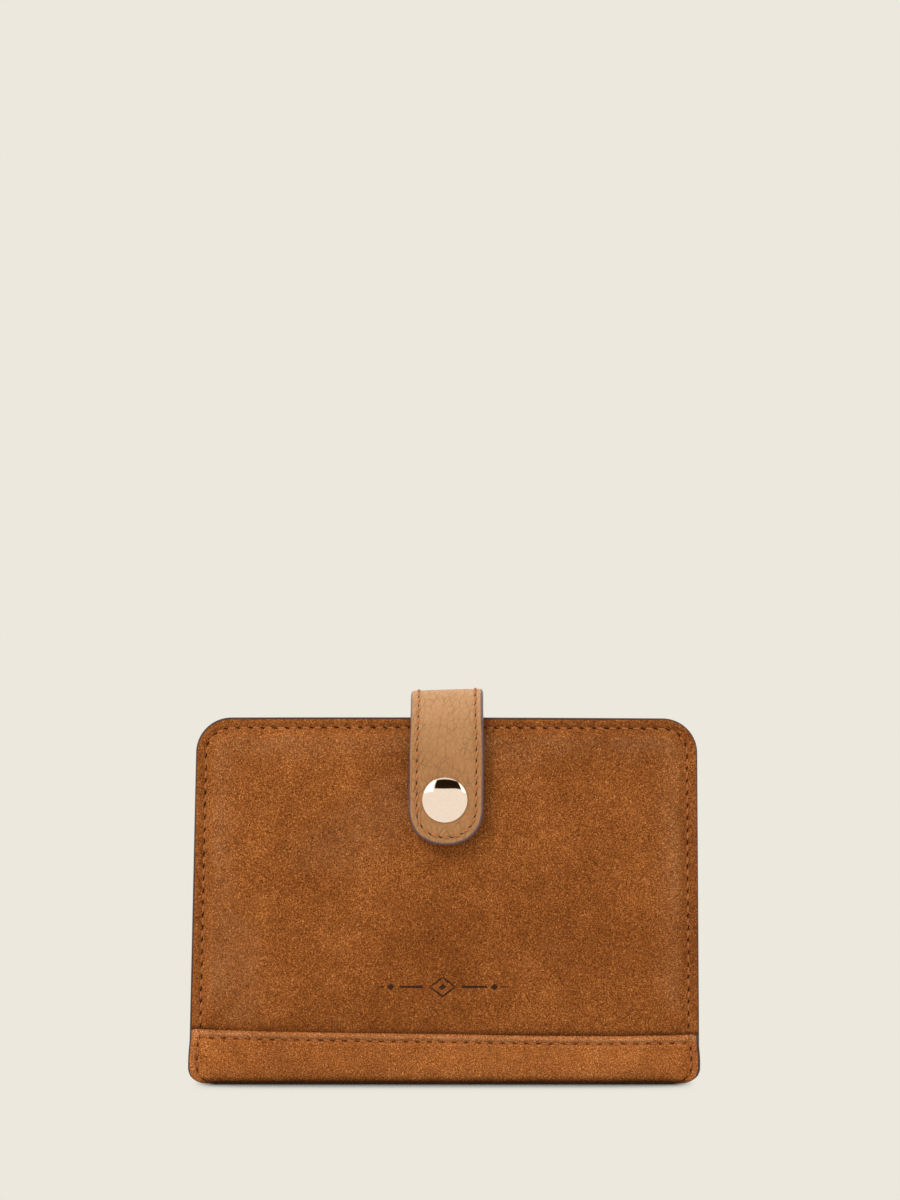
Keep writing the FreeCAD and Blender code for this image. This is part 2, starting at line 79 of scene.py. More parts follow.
CARD_HALF, CARD_T, CARD_SLOT, CARD_TOPS = 65.5, 0.7, 0.3, (84.0, 73.0, 62.0)
SNAP_W, SNAP_GAP, CAP_R, CAP_H, PAD_T = 76.5, 2.6, 6.25, 1.5, 1.0
TAB_T, TAB_HALF, TAB_HALF_TOP, TAB_TOP_IN, TAB_R, TAB_TIP, TAB_LEG = 2.3, 10.2, 9.8, 106.6, 8.0, 66.0, 72.5
STITCH_IN = 2.6
MM = 0.001


def warp(p):
    """The hand-made lean of the real wallet: its covers stand a little askew."""
    p = np.array(p, float)
    x, z = p[..., 0].copy(), p[..., 2].copy()
    u = x / 70.0
    p[..., 0] = x + z * (0.0080 + 0.0025 * u)
    p[..., 2] = z - (0.0015 * u + 0.0020 * u * u) * z
    return p


def place(side, x, d, w, warped=True):
    x, d, w = np.broadcast_arrays(np.asarray(x, float), np.asarray(d, float), np.asarray(w, float))
    y = -A + (d - D_AX) * COS + w * SIN
    z = CREASE_IN + w * COS - (d - D_AX) * SIN
    if side == "back":
        y = -y
    p = np.stack([x, y, z], -1)
    return warp(p) if warped else p


def out_normal(side):
    return np.array([0.0, -COS if side == "front" else COS, SIN])


def half_width(w):
    return HALF_LOW + (HALF_TOP - HALF_LOW) * w / COVER_TOP


def smooth(t):
    t = np.clip(t, 0, 1)
    return t * t * (3 - 2 * t)


def bump(x, c, s):
    return np.exp(-(((x - c) / s) ** 2))


def noise_at(x, w, scale, seed):
    x, w = np.broadcast_arrays(np.asarray(x, float), np.asarray(w, float))
    flat = [noise.noise(Vector((a / scale + seed * 17.3, b / scale - seed * 5.1, seed * 3.7)))
            for a, b in zip(x.ravel(), w.ravel())]
    return np.array(flat).reshape(x.shape)


# ---------------------------------------------------------------------------
# materials
# ---------------------------------------------------------------------------
def lin(r, g, b):
    out = []
    for c in (r, g, b):
        c /= 255.0
        out.append(c / 12.92 if c <= 0.04045 else ((c + 0.055) / 1.055) ** 2.4)
    return (*out, 1.0)


class Mat:
    """A node material whose textures read millimetres, from the object or from the piece's own map."""

    def __init__(self, name, coords="object"):
        self.m = bpy.data.materials.new(name)
        self.m.use_nodes = True
        self.t = self.m.node_tree
        self.t.nodes.clear()
        self.out = self.add("ShaderNodeOutputMaterial")
        self.b = self.add("ShaderNodeBsdfPrincipled")
        self.link(self.b.outputs[0], self.out.inputs[0])
        if coords == "object":
            tc = self.add("ShaderNodeTexCoord")
            mp = self.add("ShaderNodeMapping")
            mp.inputs["Scale"].default_value = (1000, 1000, 1000)
            self.link(tc.outputs["Object"], mp.inputs["Vector"])
            self.co = mp.outputs[0]
        else:
            uv = self.add("ShaderNodeUVMap")
            uv.uv_map = "mm"
            self.co = uv.outputs[0]

    def add(self, kind, **props):
        n = self.t.nodes.new(kind)
        for k, v in props.items():
            setattr(n, k, v)
        return n

    def link(self, a, b):
        self.t.links.new(a, b)

    def noise(self, size, detail=3.0, rough=0.6, distort=0.0, co=None):
        n = self.add("ShaderNodeTexNoise")
        n.inputs["Scale"].default_value = 1.0 / size
        n.inputs["Detail"].default_value = detail
        n.inputs["Roughness"].default_value = rough
        n.inputs["Distortion"].default_value = distort
        self.link(co or self.co, n.inputs["Vector"])
        return n.outputs[0]

    def voronoi(self, size, feature="F1", co=None, rand=1.0, smoothness=None):
        n = self.add("ShaderNodeTexVoronoi", feature=feature)
        n.inputs["Scale"].default_value = 1.0 / size
        n.inputs["Randomness"].default_value = rand
        if smoothness is not None:
            n.inputs["Smoothness"].default_value = smoothness
        self.link(co or self.co, n.inputs["Vector"])
        return n.outputs["Distance"]

    def moved(self, amount, size, stretch=(1, 1, 1)):
        """The coordinates pushed about by noise, and stretched."""
        n = self.add("ShaderNodeTexNoise")
        n.inputs["Scale"].default_value = 1.0 / size
        n.inputs["Detail"].default_value = 2.0
        self.link(self.co, n.inputs["Vector"])
        sub = self.add("ShaderNodeVectorMath", operation="SUBTRACT")
        self.link(n.outputs["Color"], sub.inputs[0])
        sub.inputs[1].default_value = (0.5, 0.5, 0.5)
        mul = self.add("ShaderNodeVectorMath", operation="SCALE")
        self.link(sub.outputs[0], mul.inputs[0])
        mul.inputs["Scale"].default_value = amount
        plus = self.add("ShaderNodeVectorMath", operation="ADD")
        self.link(self.co, plus.inputs[0])
        self.link(mul.outputs[0], plus.inputs[1])
        s = self.add("ShaderNodeVectorMath", operation="MULTIPLY")
        self.link(plus.outputs[0], s.inputs[0])
        s.inputs[1].default_value = stretch
        return s.outputs[0]

    def math(self, op, a, b=0.0, clamp=False):
        n = self.add("ShaderNodeMath", operation=op, use_clamp=clamp)
        for i, v in enumerate((a, b)):
            if isinstance(v, (int, float)):
                n.inputs[i].default_value = v
            else:
                self.link(v, n.inputs[i])
        return n.outputs[0]

    def spread(self, v, gain, offset=0.5):
        """(v - 0.5) * gain + offset"""
        return self.math("ADD", self.math("MULTIPLY", self.math("SUBTRACT", v, 0.5), gain), offset)

    def ramp(self, v, stops):
        n = self.add("ShaderNodeValToRGB")
        e = n.color_ramp.elements
        while len(e) < len(stops):
            e.new(0.5)
        for k, (pos, col) in enumerate(stops):
            e[k].position = pos
            e[k].color = col
        self.link(v, n.inputs[0])
        return n.outputs["Color"]

    def range(self, v, a, b, c, d):
        n = self.add("ShaderNodeMapRange")
        for k, x in zip((1, 2, 3, 4), (a, b, c, d)):
            n.inputs[k].default_value = x
        self.link(v, n.inputs[0])
        return n.outputs[0]

    def mix(self, f, a, b, mode="MIX"):
        n = self.add("ShaderNodeMix", data_type="RGBA", blend_type=mode)
        for sock, v in ((n.inputs[0], f), (n.inputs[6], a), (n.inputs[7], b)):
            if isinstance(v, (int, float)):
                sock.default_value = v
            elif isinstance(v, tuple):
                sock.default_value = v
            else:
                self.link(v, sock)
        return n.outputs[2]

    def color(self, v):
        if isinstance(v, tuple):
            self.b.inputs["Base Color"].default_value = v
        else:
            self.link(v, self.b.inputs["Base Color"])

    def rough(self, v):
        if isinstance(v, (int, float)):
            self.b.inputs["Roughness"].default_value = v
        else:
            self.link(v, self.b.inputs["Roughness"])

    def height(self, v, mm, strength=1.0):
        n = self.add("ShaderNodeBump")
        n.inputs["Strength"].default_value = strength
        n.inputs["Distance"].default_value = mm * MM
        self.link(v, n.inputs["Height"])
        self.link(n.outputs[0], self.b.inputs["Normal"])

    def set(self, **values):
        for k, v in values.items():
            self.b.inputs[k.replace("_", " ")].default_value = v


def suede(name, coords, tone=1.0, painted_light_lift=0.0):
    m = Mat(name, coords)
    def t(r, g, b):
        return lin(min(r * tone, 255), min(g * tone, 255), min(b * tone, 255))
    nap = m.moved(0.4, 1.0)
    fine = m.noise(0.20, 2.0, 0.6, 0.5, nap)
    curl = m.noise(0.37, 3.0, 0.66, 1.0, nap)
    mott = m.noise(6.0, 3.0, 0.6, 0.4)
    broad = m.noise(30.0, 2.0, 0.5)
    v = m.math("ADD", m.spread(curl, 2.1, 0.0), m.spread(fine, 1.9, 0.45))
    v = m.math("ADD", v, m.spread(mott, 0.26, 0.0))
    v = m.math("ADD", v, m.spread(broad, 0.40, 0.0), clamp=True)
    col = m.ramp(v, [(0.0, t(74, 36, 10)), (0.25, t(108, 56, 18)), (0.5, t(140, 77, 30)),
                     (0.75, t(178, 107, 50)), (1.0, t(234, 156, 90))])
    # lighter and greyer where the nap is scuffed, and lighter as painted light on the padded roll, on the strip's
    # rolled edges and over a whole lit piece; dark as painted shade down in the seam, in the stitch grooves and near
    # the floor
    pale = m.ramp(v, [(0.0, t(106, 66, 38)), (0.25, t(134, 86, 52)), (0.5, t(160, 106, 67)),
                      (0.75, t(188, 132, 88)), (1.0, t(226, 170, 124))])
    at = m.add("ShaderNodeAttribute", attribute_name="scuff_and_painted_light")
    patch = m.range(m.noise(5.0, 3.0, 0.6), 0.35, 0.65, 0.45, 1.0)
    col = m.mix(m.math("MULTIPLY", m.math("ADD", at.outputs["Fac"], painted_light_lift, clamp=True), patch), col, pale)
    col = m.mix(m.math("MULTIPLY", at.outputs["Fac"], -1.0, clamp=True), col, lin(46, 21, 7))
    m.color(col)
    m.rough(0.95)
    m.height(m.math("ADD", curl, m.math("MULTIPLY", fine, 0.7)), 0.16, 0.6)
    m.set(Sheen_Weight=0.08, Sheen_Roughness=0.5, Specular_IOR_Level=0.1)
    m.b.inputs["Sheen Tint"].default_value = lin(235, 190, 150)
    return m.m


def pebbled(bend):
    """Camel leather with a pebbled grain, lighter near the bend as painted light, where the strap's top faces up to the
    light.
    """
    m = Mat("camel_pebbled_leather", "uv")
    co = m.moved(1.1, 2.4, (1.0, 0.72, 1.0))
    cells = m.voronoi(1.75, "DISTANCE_TO_EDGE", co)
    big = m.voronoi(3.0, "DISTANCE_TO_EDGE", m.moved(2.4, 4.0, (1.0, 0.42, 1.0)))
    line = m.range(cells, 0.0, 0.14, 0.0, 1.0)
    pillow = m.math("POWER", m.range(cells, 0.0, 0.42, 0.0, 1.0), 0.5)
    fold = m.range(big, 0.0, 0.09, 0.0, 1.0)
    where = m.range(m.noise(6.0, 2.0), 0.36, 0.60, 0.35, 1.0)
    line = m.math("SUBTRACT", 1.0, m.math("MULTIPLY", m.math("SUBTRACT", 1.0, line), where))
    pillow = m.math("MULTIPLY", pillow, where)
    pores = m.noise(0.24, 2.0, 0.6)
    tone = m.noise(9.0, 3.0, 0.5)
    v = m.math("ADD", m.spread(tone, 0.20, 0.5), m.spread(pores, 0.30, 0.0))
    v = m.math("ADD", v, m.math("MULTIPLY", m.math("SUBTRACT", line, 1.0), 0.05))
    v = m.math("ADD", v, m.math("MULTIPLY", m.math("SUBTRACT", fold, 1.0), 0.03), clamp=True)
    sep = m.add("ShaderNodeSeparateXYZ")
    m.link(m.co, sep.inputs[0])
    away = m.math("ABSOLUTE", m.math("SUBTRACT", sep.outputs[1], bend))
    # stretch here is a painted-light mask: 1 within 9 mm of the bend, where the strap's top faces up to the light,
    # falling to 0 by 28 mm
    stretch = m.range(away, 9.0, 28.0, 1.0, 0.0)
    plain = m.ramp(v, [(0.0, lin(112, 68, 34)), (0.5, lin(168, 118, 70)), (1.0, lin(206, 158, 110))])
    lit_top_ramp = m.ramp(v, [(0.0, lin(134, 88, 50)), (0.5, lin(189, 141, 96)), (1.0, lin(220, 176, 132))])
    m.color(m.mix(stretch, plain, lit_top_ramp))
    m.rough(m.range(pores, 0.3, 0.7, 0.42, 0.54))
    h = m.math("ADD", m.math("MULTIPLY", pillow, 1.0), m.math("MULTIPLY", fold, 0.3))
    h = m.math("ADD", h, m.math("MULTIPLY", pores, 0.12))
    m.height(h, 0.34, 1.0)
    m.set(Specular_IOR_Level=0.42)
    return m.m


def smooth_leather(name, rgb, coords="object", wrinkle=0.5):
    m = Mat(name, coords)
    r, g, b = rgb
    tone = m.noise(11.0, 4.0, 0.6)
    grain = m.voronoi(0.55, "SMOOTH_F1", m.moved(0.35, 1.4), smoothness=0.5)
    pores = m.noise(0.3, 2.0, 0.6)
    v = m.math("ADD", m.spread(tone, 0.7, 0.5), m.spread(grain, 0.25, 0.0), clamp=True)
    m.color(m.ramp(v, [(0.0, lin(r * 0.8, g * 0.78, b * 0.74)), (0.5, lin(r, g, b)),
                       (1.0, lin(min(r * 1.14, 255), min(g * 1.16, 255), min(b * 1.2, 255)))]))
    m.rough(m.range(pores, 0.3, 0.7, 0.42, 0.6))
    m.height(m.math("ADD", grain, m.math("MULTIPLY", tone, wrinkle)), 0.05, 0.6)
    m.set(Specular_IOR_Level=0.35)
    return m.m


def cloth(name, rgb, size=0.45, coords="object", axes=(1, 1, 1)):
    m = Mat(name, coords)
    r, g, b = rgb
    sep = m.add("ShaderNodeSeparateXYZ")
    m.link(m.co, sep.inputs[0])
    def wave(sock, k):
        return m.math("SINE", m.math("MULTIPLY", sock, 2 * math.pi / (size * k)))
    diag = m.math("ADD", m.math("ADD", sep.outputs[0], sep.outputs[1]), sep.outputs[2])
    weave = m.math("MULTIPLY", wave(diag, 1.6), wave(sep.outputs[0], 1.0))
    fuzz = m.noise(0.5, 3.0)
    v = m.math("ADD", m.math("MULTIPLY", weave, 0.25), fuzz, clamp=True)
    m.color(m.ramp(v, [(0.1, lin(r * 0.62, g * 0.6, b * 0.58)), (0.5, lin(r, g, b)),
                       (0.95, lin(min(r * 1.2, 255), min(g * 1.2, 255), min(b * 1.22, 255)))]))
    m.rough(0.9)
    m.height(v, 0.09, 0.7)
    m.set(Sheen_Weight=0.2, Specular_IOR_Level=0.2)
    return m.m


def thread_mat(name, rgb):
    m = Mat(name)
    r, g, b = rgb
    v = m.noise(0.16, 2.0, 0.6)
    w = m.noise(3.0, 2.0)
    f = m.math("ADD", m.spread(v, 1.0, 0.5), m.spread(w, 0.4, 0.0), clamp=True)
    m.color(m.ramp(f, [(0.0, lin(r * 0.6, g * 0.55, b * 0.5)), (0.5, lin(r, g, b)),
                       (1.0, lin(min(r * 1.2, 255), min(g * 1.22, 255), min(b * 1.25, 255)))]))
    m.rough(0.7)
    m.height(v, 0.04, 0.8)
    m.set(Specular_IOR_Level=0.3)
    return m.m


def dark_mat(name, rgb, rough=0.9):
    m = Mat(name)
    r, g, b = rgb
    v = m.noise(0.4, 2.0)
    m.color(m.ramp(v, [(0.3, lin(r * 0.7, g * 0.7, b * 0.7)), (0.7, lin(r, g, b))]))
    m.rough(rough)
    m.height(v, 0.03, 0.5)
    m.set(Specular_IOR_Level=0.15)
    return m.m


def edge_paint(name, coords="object", rgb=(98, 70, 66), coat=0.25):
    m = Mat(name, coords)
    r, g, b = rgb
    v = m.noise(2.2, 4.0, 0.65)
    f = m.noise(0.4, 2.0)
    k = m.math("ADD", m.spread(v, 0.9, 0.5), m.spread(f, 0.3, 0.0), clamp=True)
    m.color(m.ramp(k, [(0.0, lin(r * 0.62, g * 0.58, b * 0.58)), (0.5, lin(r, g, b)), (1.0, lin(r * 1.35, g * 1.4, b * 1.5))]))
    m.rough(m.range(f, 0.3, 0.7, 0.3, 0.5))
    m.height(m.math("ADD", v, m.math("MULTIPLY", f, 0.4)), 0.08, 0.6)
    m.set(Specular_IOR_Level=0.25 + coat, Coat_Weight=coat, Coat_Roughness=0.25)
    return m.m


def metal(name, rgb, rough, scratch=0.02, size=1.0):
    m = Mat(name)
    r, g, b = rgb
    v = m.noise(size, 3.0, 0.6)
    f = m.noise(0.25, 2.0)
    m.color(m.ramp(v, [(0.2, lin(r * 0.97, g * 0.965, b * 0.955)), (0.8, lin(r, g, b))]))
    m.rough(m.range(f, 0.3, 0.7, rough, rough + scratch))
    m.set(Metallic=1.0)
    m.height(f, 0.002, 0.25)
    return m.m


SUEDE = suede("tan_suede", "object", 0.962)
# the strip's copy is lighter than the covers' (tone 1.11, lift 0.16) as painted light, for how the light falls on the
# strip
SUEDE_STRIP = suede("tan_suede_strip", "uv", 1.11, 0.16)
BACKING = smooth_leather("tan_backing", (150, 104, 66), "uv")
INNER = smooth_leather("inner_leather", (163, 113, 72))
LINING = smooth_leather("brown_lining", (120, 80, 50))
LINING_UV = smooth_leather("brown_lining_crease", (120, 80, 50), "uv")
EDGE = edge_paint("edge_paint", "object", (64, 42, 36), 0.06)
EDGE_STRIP = edge_paint("edge_paint_strip", "uv", (60, 40, 34), 0.06)
EDGE_UV = edge_paint("edge_paint_strap", "uv", (98, 74, 76))
GUSSET = cloth("gusset_twill", (118, 84, 55), 0.5)
TAPE = cloth("zip_tape_weave", (92, 62, 40), 0.6)
THREAD = thread_mat("tan_thread", (168, 104, 60))
THREAD_TAB = thread_mat("orange_tan_thread", (182, 117, 69))
# needle holes: dark lenses on the surface, painted shade inside each hole
HOLE_SHADE = dark_mat("painted_hole_shade", (50, 26, 11))
HOLE_SHADE_SOFT = dark_mat("painted_hole_shade_soft", (66, 34, 14))
HOLE_SHADE_TAB = dark_mat("painted_hole_shade_tab", (52, 26, 14))
INK = dark_mat("pressed_ornament", (62, 35, 20), 0.7)
GOLD = metal("pale_gold", (254, 238, 222), 0.03, 0.02)
BRASS = metal("zip_brass", (214, 176, 122), 0.2, 0.12, 2.0)


# ---------------------------------------------------------------------------
# mesh helpers
# ---------------------------------------------------------------------------
def build(name, verts, faces, mats, index=None, uv=None, merge=False, flat=False, scuff_and_painted_light=None):
    """A closed mesh from points in millimetres."""
    bm = bmesh.new()
    layer = bm.loops.layers.uv.new("mm") if uv is not None else None
    # per-vertex mask for the suede: scuffed nap mixed with painted light and painted shade
    scuff_and_painted_light_values = bm.verts.layers.float.new("scuff_and_painted_light") if scuff_and_painted_light is not None else None
    vs = [bm.verts.new((float(p[0]) * MM, float(p[1]) * MM, float(p[2]) * MM)) for p in verts]
    if scuff_and_painted_light_values is not None:
        for v, r in zip(vs, scuff_and_painted_light):
            v[scuff_and_painted_light_values] = float(r)
    for k, f in enumerate(faces):
        if len(set(f)) < 3:
            continue
        try:
            face = bm.faces.new([vs[i] for i in f])
        except ValueError:
            continue
        face.smooth = not flat
        if index is not None:
            face.material_index = int(index[k])
        if layer is not None:
            for loop, i in zip(face.loops, f):
                loop[layer].uv = (float(uv[i][0]), float(uv[i][1]))
    if merge:
        bmesh.ops.remove_doubles(bm, verts=bm.verts, dist=2e-7)
        bmesh.ops.dissolve_degenerate(bm, dist=1e-8, edges=bm.edges)
    bmesh.ops.recalc_face_normals(bm, faces=bm.faces)
    me = bpy.data.meshes.new(name)
    bm.to_mesh(me)
    bm.free()
    ob = bpy.data.objects.new(name, me)
    bpy.context.scene.collection.objects.link(ob)
    for m in mats if isinstance(mats, (list, tuple)) else [mats]:
        me.materials.append(m)
    return ob


def fit(ob, body, slot, *nodes):
    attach(ob, body)
    if nodes:
        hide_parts(*nodes)
    return ob


def loops_mesh(rings, tags=None):
    """Rings of equal length, each closed on itself, joined in turn. tags gives each band's material index."""
    n = len(rings[0])
    verts = np.concatenate(rings)
    faces, index = [], []
    for r in range(len(rings) - 1):
        a, b = r * n, (r + 1) * n
        for k in range(n):
            k2 = (k + 1) % n
            faces.append((a + k, a + k2, b + k2, b + k))
            index.append(tags[r] if tags else 0)
    return verts, faces, index


def tube(path, frame_n, frame_b, section, closed=False):
    """Section points (n, b) swept along the path; frame vectors are per point. Ends are capped."""
    m = len(section)
    verts, faces = [], []
    for p, fn, fb in zip(path, frame_n, frame_b):
        for a, b in section:
            verts.append(p + fn * a + fb * b)
    k = len(path)
    for i in range(k if closed else k - 1):
        j = (i + 1) % k
        for s in range(m):
            s2 = (s + 1) % m
            faces.append((i * m + s, i * m + s2, j * m + s2, j * m + s))
    if not closed:
        faces.append(tuple(range(m)))
        faces.append(tuple(range((k - 1) * m, k * m)))
    return verts, faces


def outline(inset, a_low, a_top, low, top, r_low, r_top, nb, ns, na):
    """Points of a rounded outline, in x and w, always in the same order: along the bottom, up the right, back along the top, down the left."""
    def hw(w):
        return a_low + (a_top - a_low) * (w - low) / (top - low) - inset
    lo, hi = low + inset, top - inset
    rl, rt = max(r_low - inset, 0.02), max(r_top - inset, 0.02)
    pts = []
    def run(p, q, n):
        for k in range(n):
            t = k / n
            pts.append((p[0] + (q[0] - p[0]) * t, p[1] + (q[1] - p[1]) * t))
    def arc(c, r, a0, a1):
        for k in range(na):
            t = math.radians(a0 + (a1 - a0) * k / na)
            pts.append((c[0] + r * math.cos(t), c[1] + r * math.sin(t)))
    bl, br = (-hw(lo) + rl, lo), (hw(lo) - rl, lo)
    run(bl, br, nb)
    arc((br[0], lo + rl), rl, -90, 0)
    run((hw(lo), lo + rl), (hw(hi), hi - rt), ns)
    arc((hw(hi) - rt, hi - rt), rt, 0, 90)
    run((hw(hi) - rt, hi), (-hw(hi) + rt, hi), nb)
    arc((-hw(hi) + rt, hi - rt), rt, 90, 180)
    run((-hw(hi), hi - rt), (-hw(lo), lo + rl), ns)
    arc((-hw(lo) + rl, lo + rl), rl, 180, 270)
    return np.array(pts)


def collapse(ring, half, level):
    return np.stack([np.clip(ring[:, 0], -half, half), np.full(len(ring), level)], -1)


def plate(name, side, mats, face_d, back_d, shape, insets, relief=None, edge_tag=0, face_tag=0, back_tag=None, step=1.6, round_r=0.25,
          warped=True, edge_until=0.0):
    """A panel of leather: a crowned face with softened edges, a wall and a back. shape is (a_low, a_top, low, top, r_low, r_top).
    The face is the side that shows. relief(x, w, inset) moves it outwards from its plane, in millimetres."""
    a_low, a_top, low, top, r_low, r_top = shape
    nb = max(int(2 * a_low / step), 8)
    ns = max(int((top - low) / step), 6)
    na = 8
    sign = 1.0 if face_d > back_d else -1.0
    rings, tags = [], []
    centre_half = max(a_low - (top - low) / 2, 0.0) if 2 * a_low > top - low else 0.0
    level = (low + top) / 2
    lim = min(a_low, (top - low) / 2) * 0.94
    ins = [i for i in insets if i < lim]
    def face_ring(i, xy):
        soft = -(round_r - math.sqrt(max(round_r ** 2 - max(round_r - i, 0) ** 2, 0)))
        h = np.full(len(xy), soft)
        if relief is not None:
            h = h + relief(xy[:, 0], xy[:, 1], np.full(len(xy), i))
        return place(side, xy[:, 0], face_d + sign * h, xy[:, 1], warped)
    last = outline(ins[-1], a_low, a_top, low, top, r_low, r_top, nb, ns, na)
    mid = collapse(last, centre_half, level)
    if centre_half == 0.0:
        half = (top - low) / 2 - a_low
        mid = np.stack([np.zeros(len(last)), np.clip(last[:, 1], level - max(half, 0), level + max(half, 0))], -1)
    rings.append(face_ring(lim, mid))
    for i in reversed(ins):
        rings.append(face_ring(i, outline(i, a_low, a_top, low, top, r_low, r_top, nb, ns, na)))
        tags.append(edge_tag if i < edge_until else face_tag)
    edge = outline(0, a_low, a_top, low, top, r_low, r_top, nb, ns, na)
    back = back_d + sign * 0.12
    rings.append(place(side, edge[:, 0], np.full(len(edge), back), edge[:, 1], warped))
    tags.append(edge_tag)
    inner = outline(0.2, a_low, a_top, low, top, r_low, r_top, nb, ns, na)
    rings.append(place(side, inner[:, 0], np.full(len(edge), back_d), inner[:, 1], warped))
    tags.append(edge_tag)
    rings.append(place(side, mid[:, 0], np.full(len(edge), back_d), mid[:, 1], warped))
    tags.append(face_tag if back_tag is None else back_tag)
    v, f, ix = loops_mesh(rings, tags)
    return build(name, v, f, mats, ix, merge=True)


def resample(path, pitch, start=0.0, end=0.0):
    """Evenly spaced points and tangents along a polyline."""
    path = np.asarray(path, float)
    seg = np.linalg.norm(np.diff(path, axis=0), axis=1)
    cum = np.concatenate([[0], np.cumsum(seg)])
    total = cum[-1] - start - end
    n = max(int(round(total / pitch)), 1)
    at = start + np.arange(n + 1) * (total / n)
    pts = np.stack([np.interp(at, cum, path[:, k]) for k in range(path.shape[1])], -1)
    a = np.stack([np.interp(np.clip(at - 0.3, 0, cum[-1]), cum, path[:, k]) for k in range(path.shape[1])], -1)
    b = np.stack([np.interp(np.clip(at + 0.3, 0, cum[-1]), cum, path[:, k]) for k in range(path.shape[1])], -1)
    t = b - a
    t /= np.linalg.norm(t, axis=1)[:, None]
    return pts, t


def stitches(name, pts, nor, mats, r=0.22, gap=0.9, slant=0.1, lift=0.1, dip=0.25, slit=(1.15, 0.42), slit_turn=14.0, ply=0.0,
             slit_lift=0.02, jitter=0.06):
    """One thread from hole to hole, and a dark lens at each end as painted shade inside the needle hole. mats is
    (thread, hole shade). Returns both pieces.
    """
    pts, nor = np.asarray(pts, float), np.asarray(nor, float)
    tv, tf, sv, sf = [], [], [], []
    k = len(pts)
    ring, steps = (10, 13) if ply else (6, 7)
    for i in range(k):
        a = pts[max(i - 1, 0)]
        b = pts[min(i + 1, k - 1)]
        t = (b - a) / np.linalg.norm(b - a)
        n = nor[i] - t * (nor[i] @ t)
        n /= np.linalg.norm(n)
        side = np.cross(n, t)
        turn = math.radians(slit_turn + rng.uniform(-5, 5))
        u = t * math.cos(turn) + side * math.sin(turn)
        v = np.cross(n, u)
        # hole: a flat dark lens that lies in the surface, painted shade inside the needle hole
        c = pts[i] + n * slit_lift + side * rng.uniform(-jitter, jitter)
        base = len(sv)
        la = slit[0] / 2 * rng.uniform(0.85, 1.1)
        lb = slit[1] / 2 * rng.uniform(0.85, 1.1)
        m = 10
        sv.append(c + n * 0.03)
        for ring_k, (rs, h) in enumerate(((0.6, 0.02), (1.0, -0.03))):
            for q in range(m):
                an = 2 * math.pi * q / m
                sv.append(c + u * la * rs * math.cos(an) + v * lb * rs * math.sin(an) * (1 - 0.35 * abs(math.cos(an))) + n * h)
        sv.append(c - n * 0.2)
        for q in range(m):
            q2 = (q + 1) % m
            sf.append((base, base + 1 + q, base + 1 + q2))
            sf.append((base + 1 + q, base + 1 + m + q, base + 1 + m + q2, base + 1 + q2))
            sf.append((base + 1 + m + q, base + 1 + 2 * m, base + 1 + m + q2))
        if i == k - 1:
            continue
        # thread from this hole to the next
        p, q_ = pts[i], pts[i + 1]
        t = (q_ - p) / np.linalg.norm(q_ - p)
        length = np.linalg.norm(q_ - p)
        n2 = nor[i] + nor[i + 1]
        n2 = n2 - t * (n2 @ t)
        n2 /= np.linalg.norm(n2)
        sd = np.cross(n2, t)
        start, stop = gap / 2 / length, 1 - gap / 2 / length
        sl = slant + rng.uniform(-0.03, 0.03)
        base = len(tv)
        for s in range(steps):
            f = s / (steps - 1)
            g = start + (stop - start) * f
            arch = math.sin(math.pi * f) ** 0.55
            c = p + (q_ - p) * g + n2 * (lift * arch - dip * (1 - arch)) + sd * sl * (0.5 - f) * 2
            rr = r * (0.72 + 0.28 * arch)
            for a_ in range(ring):
                th = 2 * math.pi * a_ / ring
                w = rr * (1 + ply * math.cos(2 * (th - f * math.pi * 3.2)))
                tv.append(c + n2 * math.cos(th) * w + sd * math.sin(th) * w * 1.1)
        for s in range(steps - 1):
            for a_ in range(ring):
                a2 = (a_ + 1) % ring
                tf.append((base + s * ring + a_, base + s * ring + a2, base + (s + 1) * ring + a2, base + (s + 1) * ring + a_))
        tf.append(tuple(base + a_ for a_ in range(ring)))
        tf.append(tuple(base + (steps - 1) * ring + a_ for a_ in range(ring)))
    th = build(name, tv, tf, mats[0])
    sl = build(name + "_hole_shade", sv, sf, mats[1])
    return th, sl


# ---------------------------------------------------------------------------
# covers: padded suede, painted edge, lining
# ---------------------------------------------------------------------------
def top_bow(x):
    """The strip's upper edge isn't straight: it sags in the middle and lifts at its ends."""
    return np.interp(x, [-71, -62, -45, -20, 0, 25, 48, 62, 71], [1.15, 0.72, 0.25, -0.15, -0.4, -0.85, -0.95, -0.7, -0.35])


def inset_of(x, w):
    dx, dw = half_width(w) - np.abs(x), COVER_TOP - w
    r = CORNER_R
    corner = (dx < r) & (dw < r)
    i = np.minimum(dx, dw)
    rounded = r - np.sqrt((r - dx) ** 2 + (r - dw) ** 2)
    return np.where(corner, rounded, i)


def suede_height(x, w, side, fine=True):
    i = inset_of(x, w)
    h = -(0.5 - np.sqrt(np.clip(0.25 - np.clip(0.5 - i, 0, 0.5) ** 2, 0, None)))
    h = h + 0.10 * bump(i, 1.25, 0.6) * smooth((w - 12) / 2)
    h = h - 0.20 * bump(i, STITCH_IN, 0.42)
    seam = STRIP_TOP + top_bow(x)
    rise = smooth((i - 2.85) / 2.7) * smooth((w - seam - 0.5) / 2.4)
    h = h + rise * 0.80
    h = h + 0.24 * bump(i, 5.4, 1.5) * smooth((w - seam - 0.8) / 3.0)
    seed = 1 if side == "front" else 2
    if fine:
        h = h + rise * (0.26 * noise_at(x, w, 34.0, seed) + 0.10 * noise_at(x, w, 11.0, seed + 4) + 0.03 * noise_at(x, w, 3.6, seed + 9))
    return h


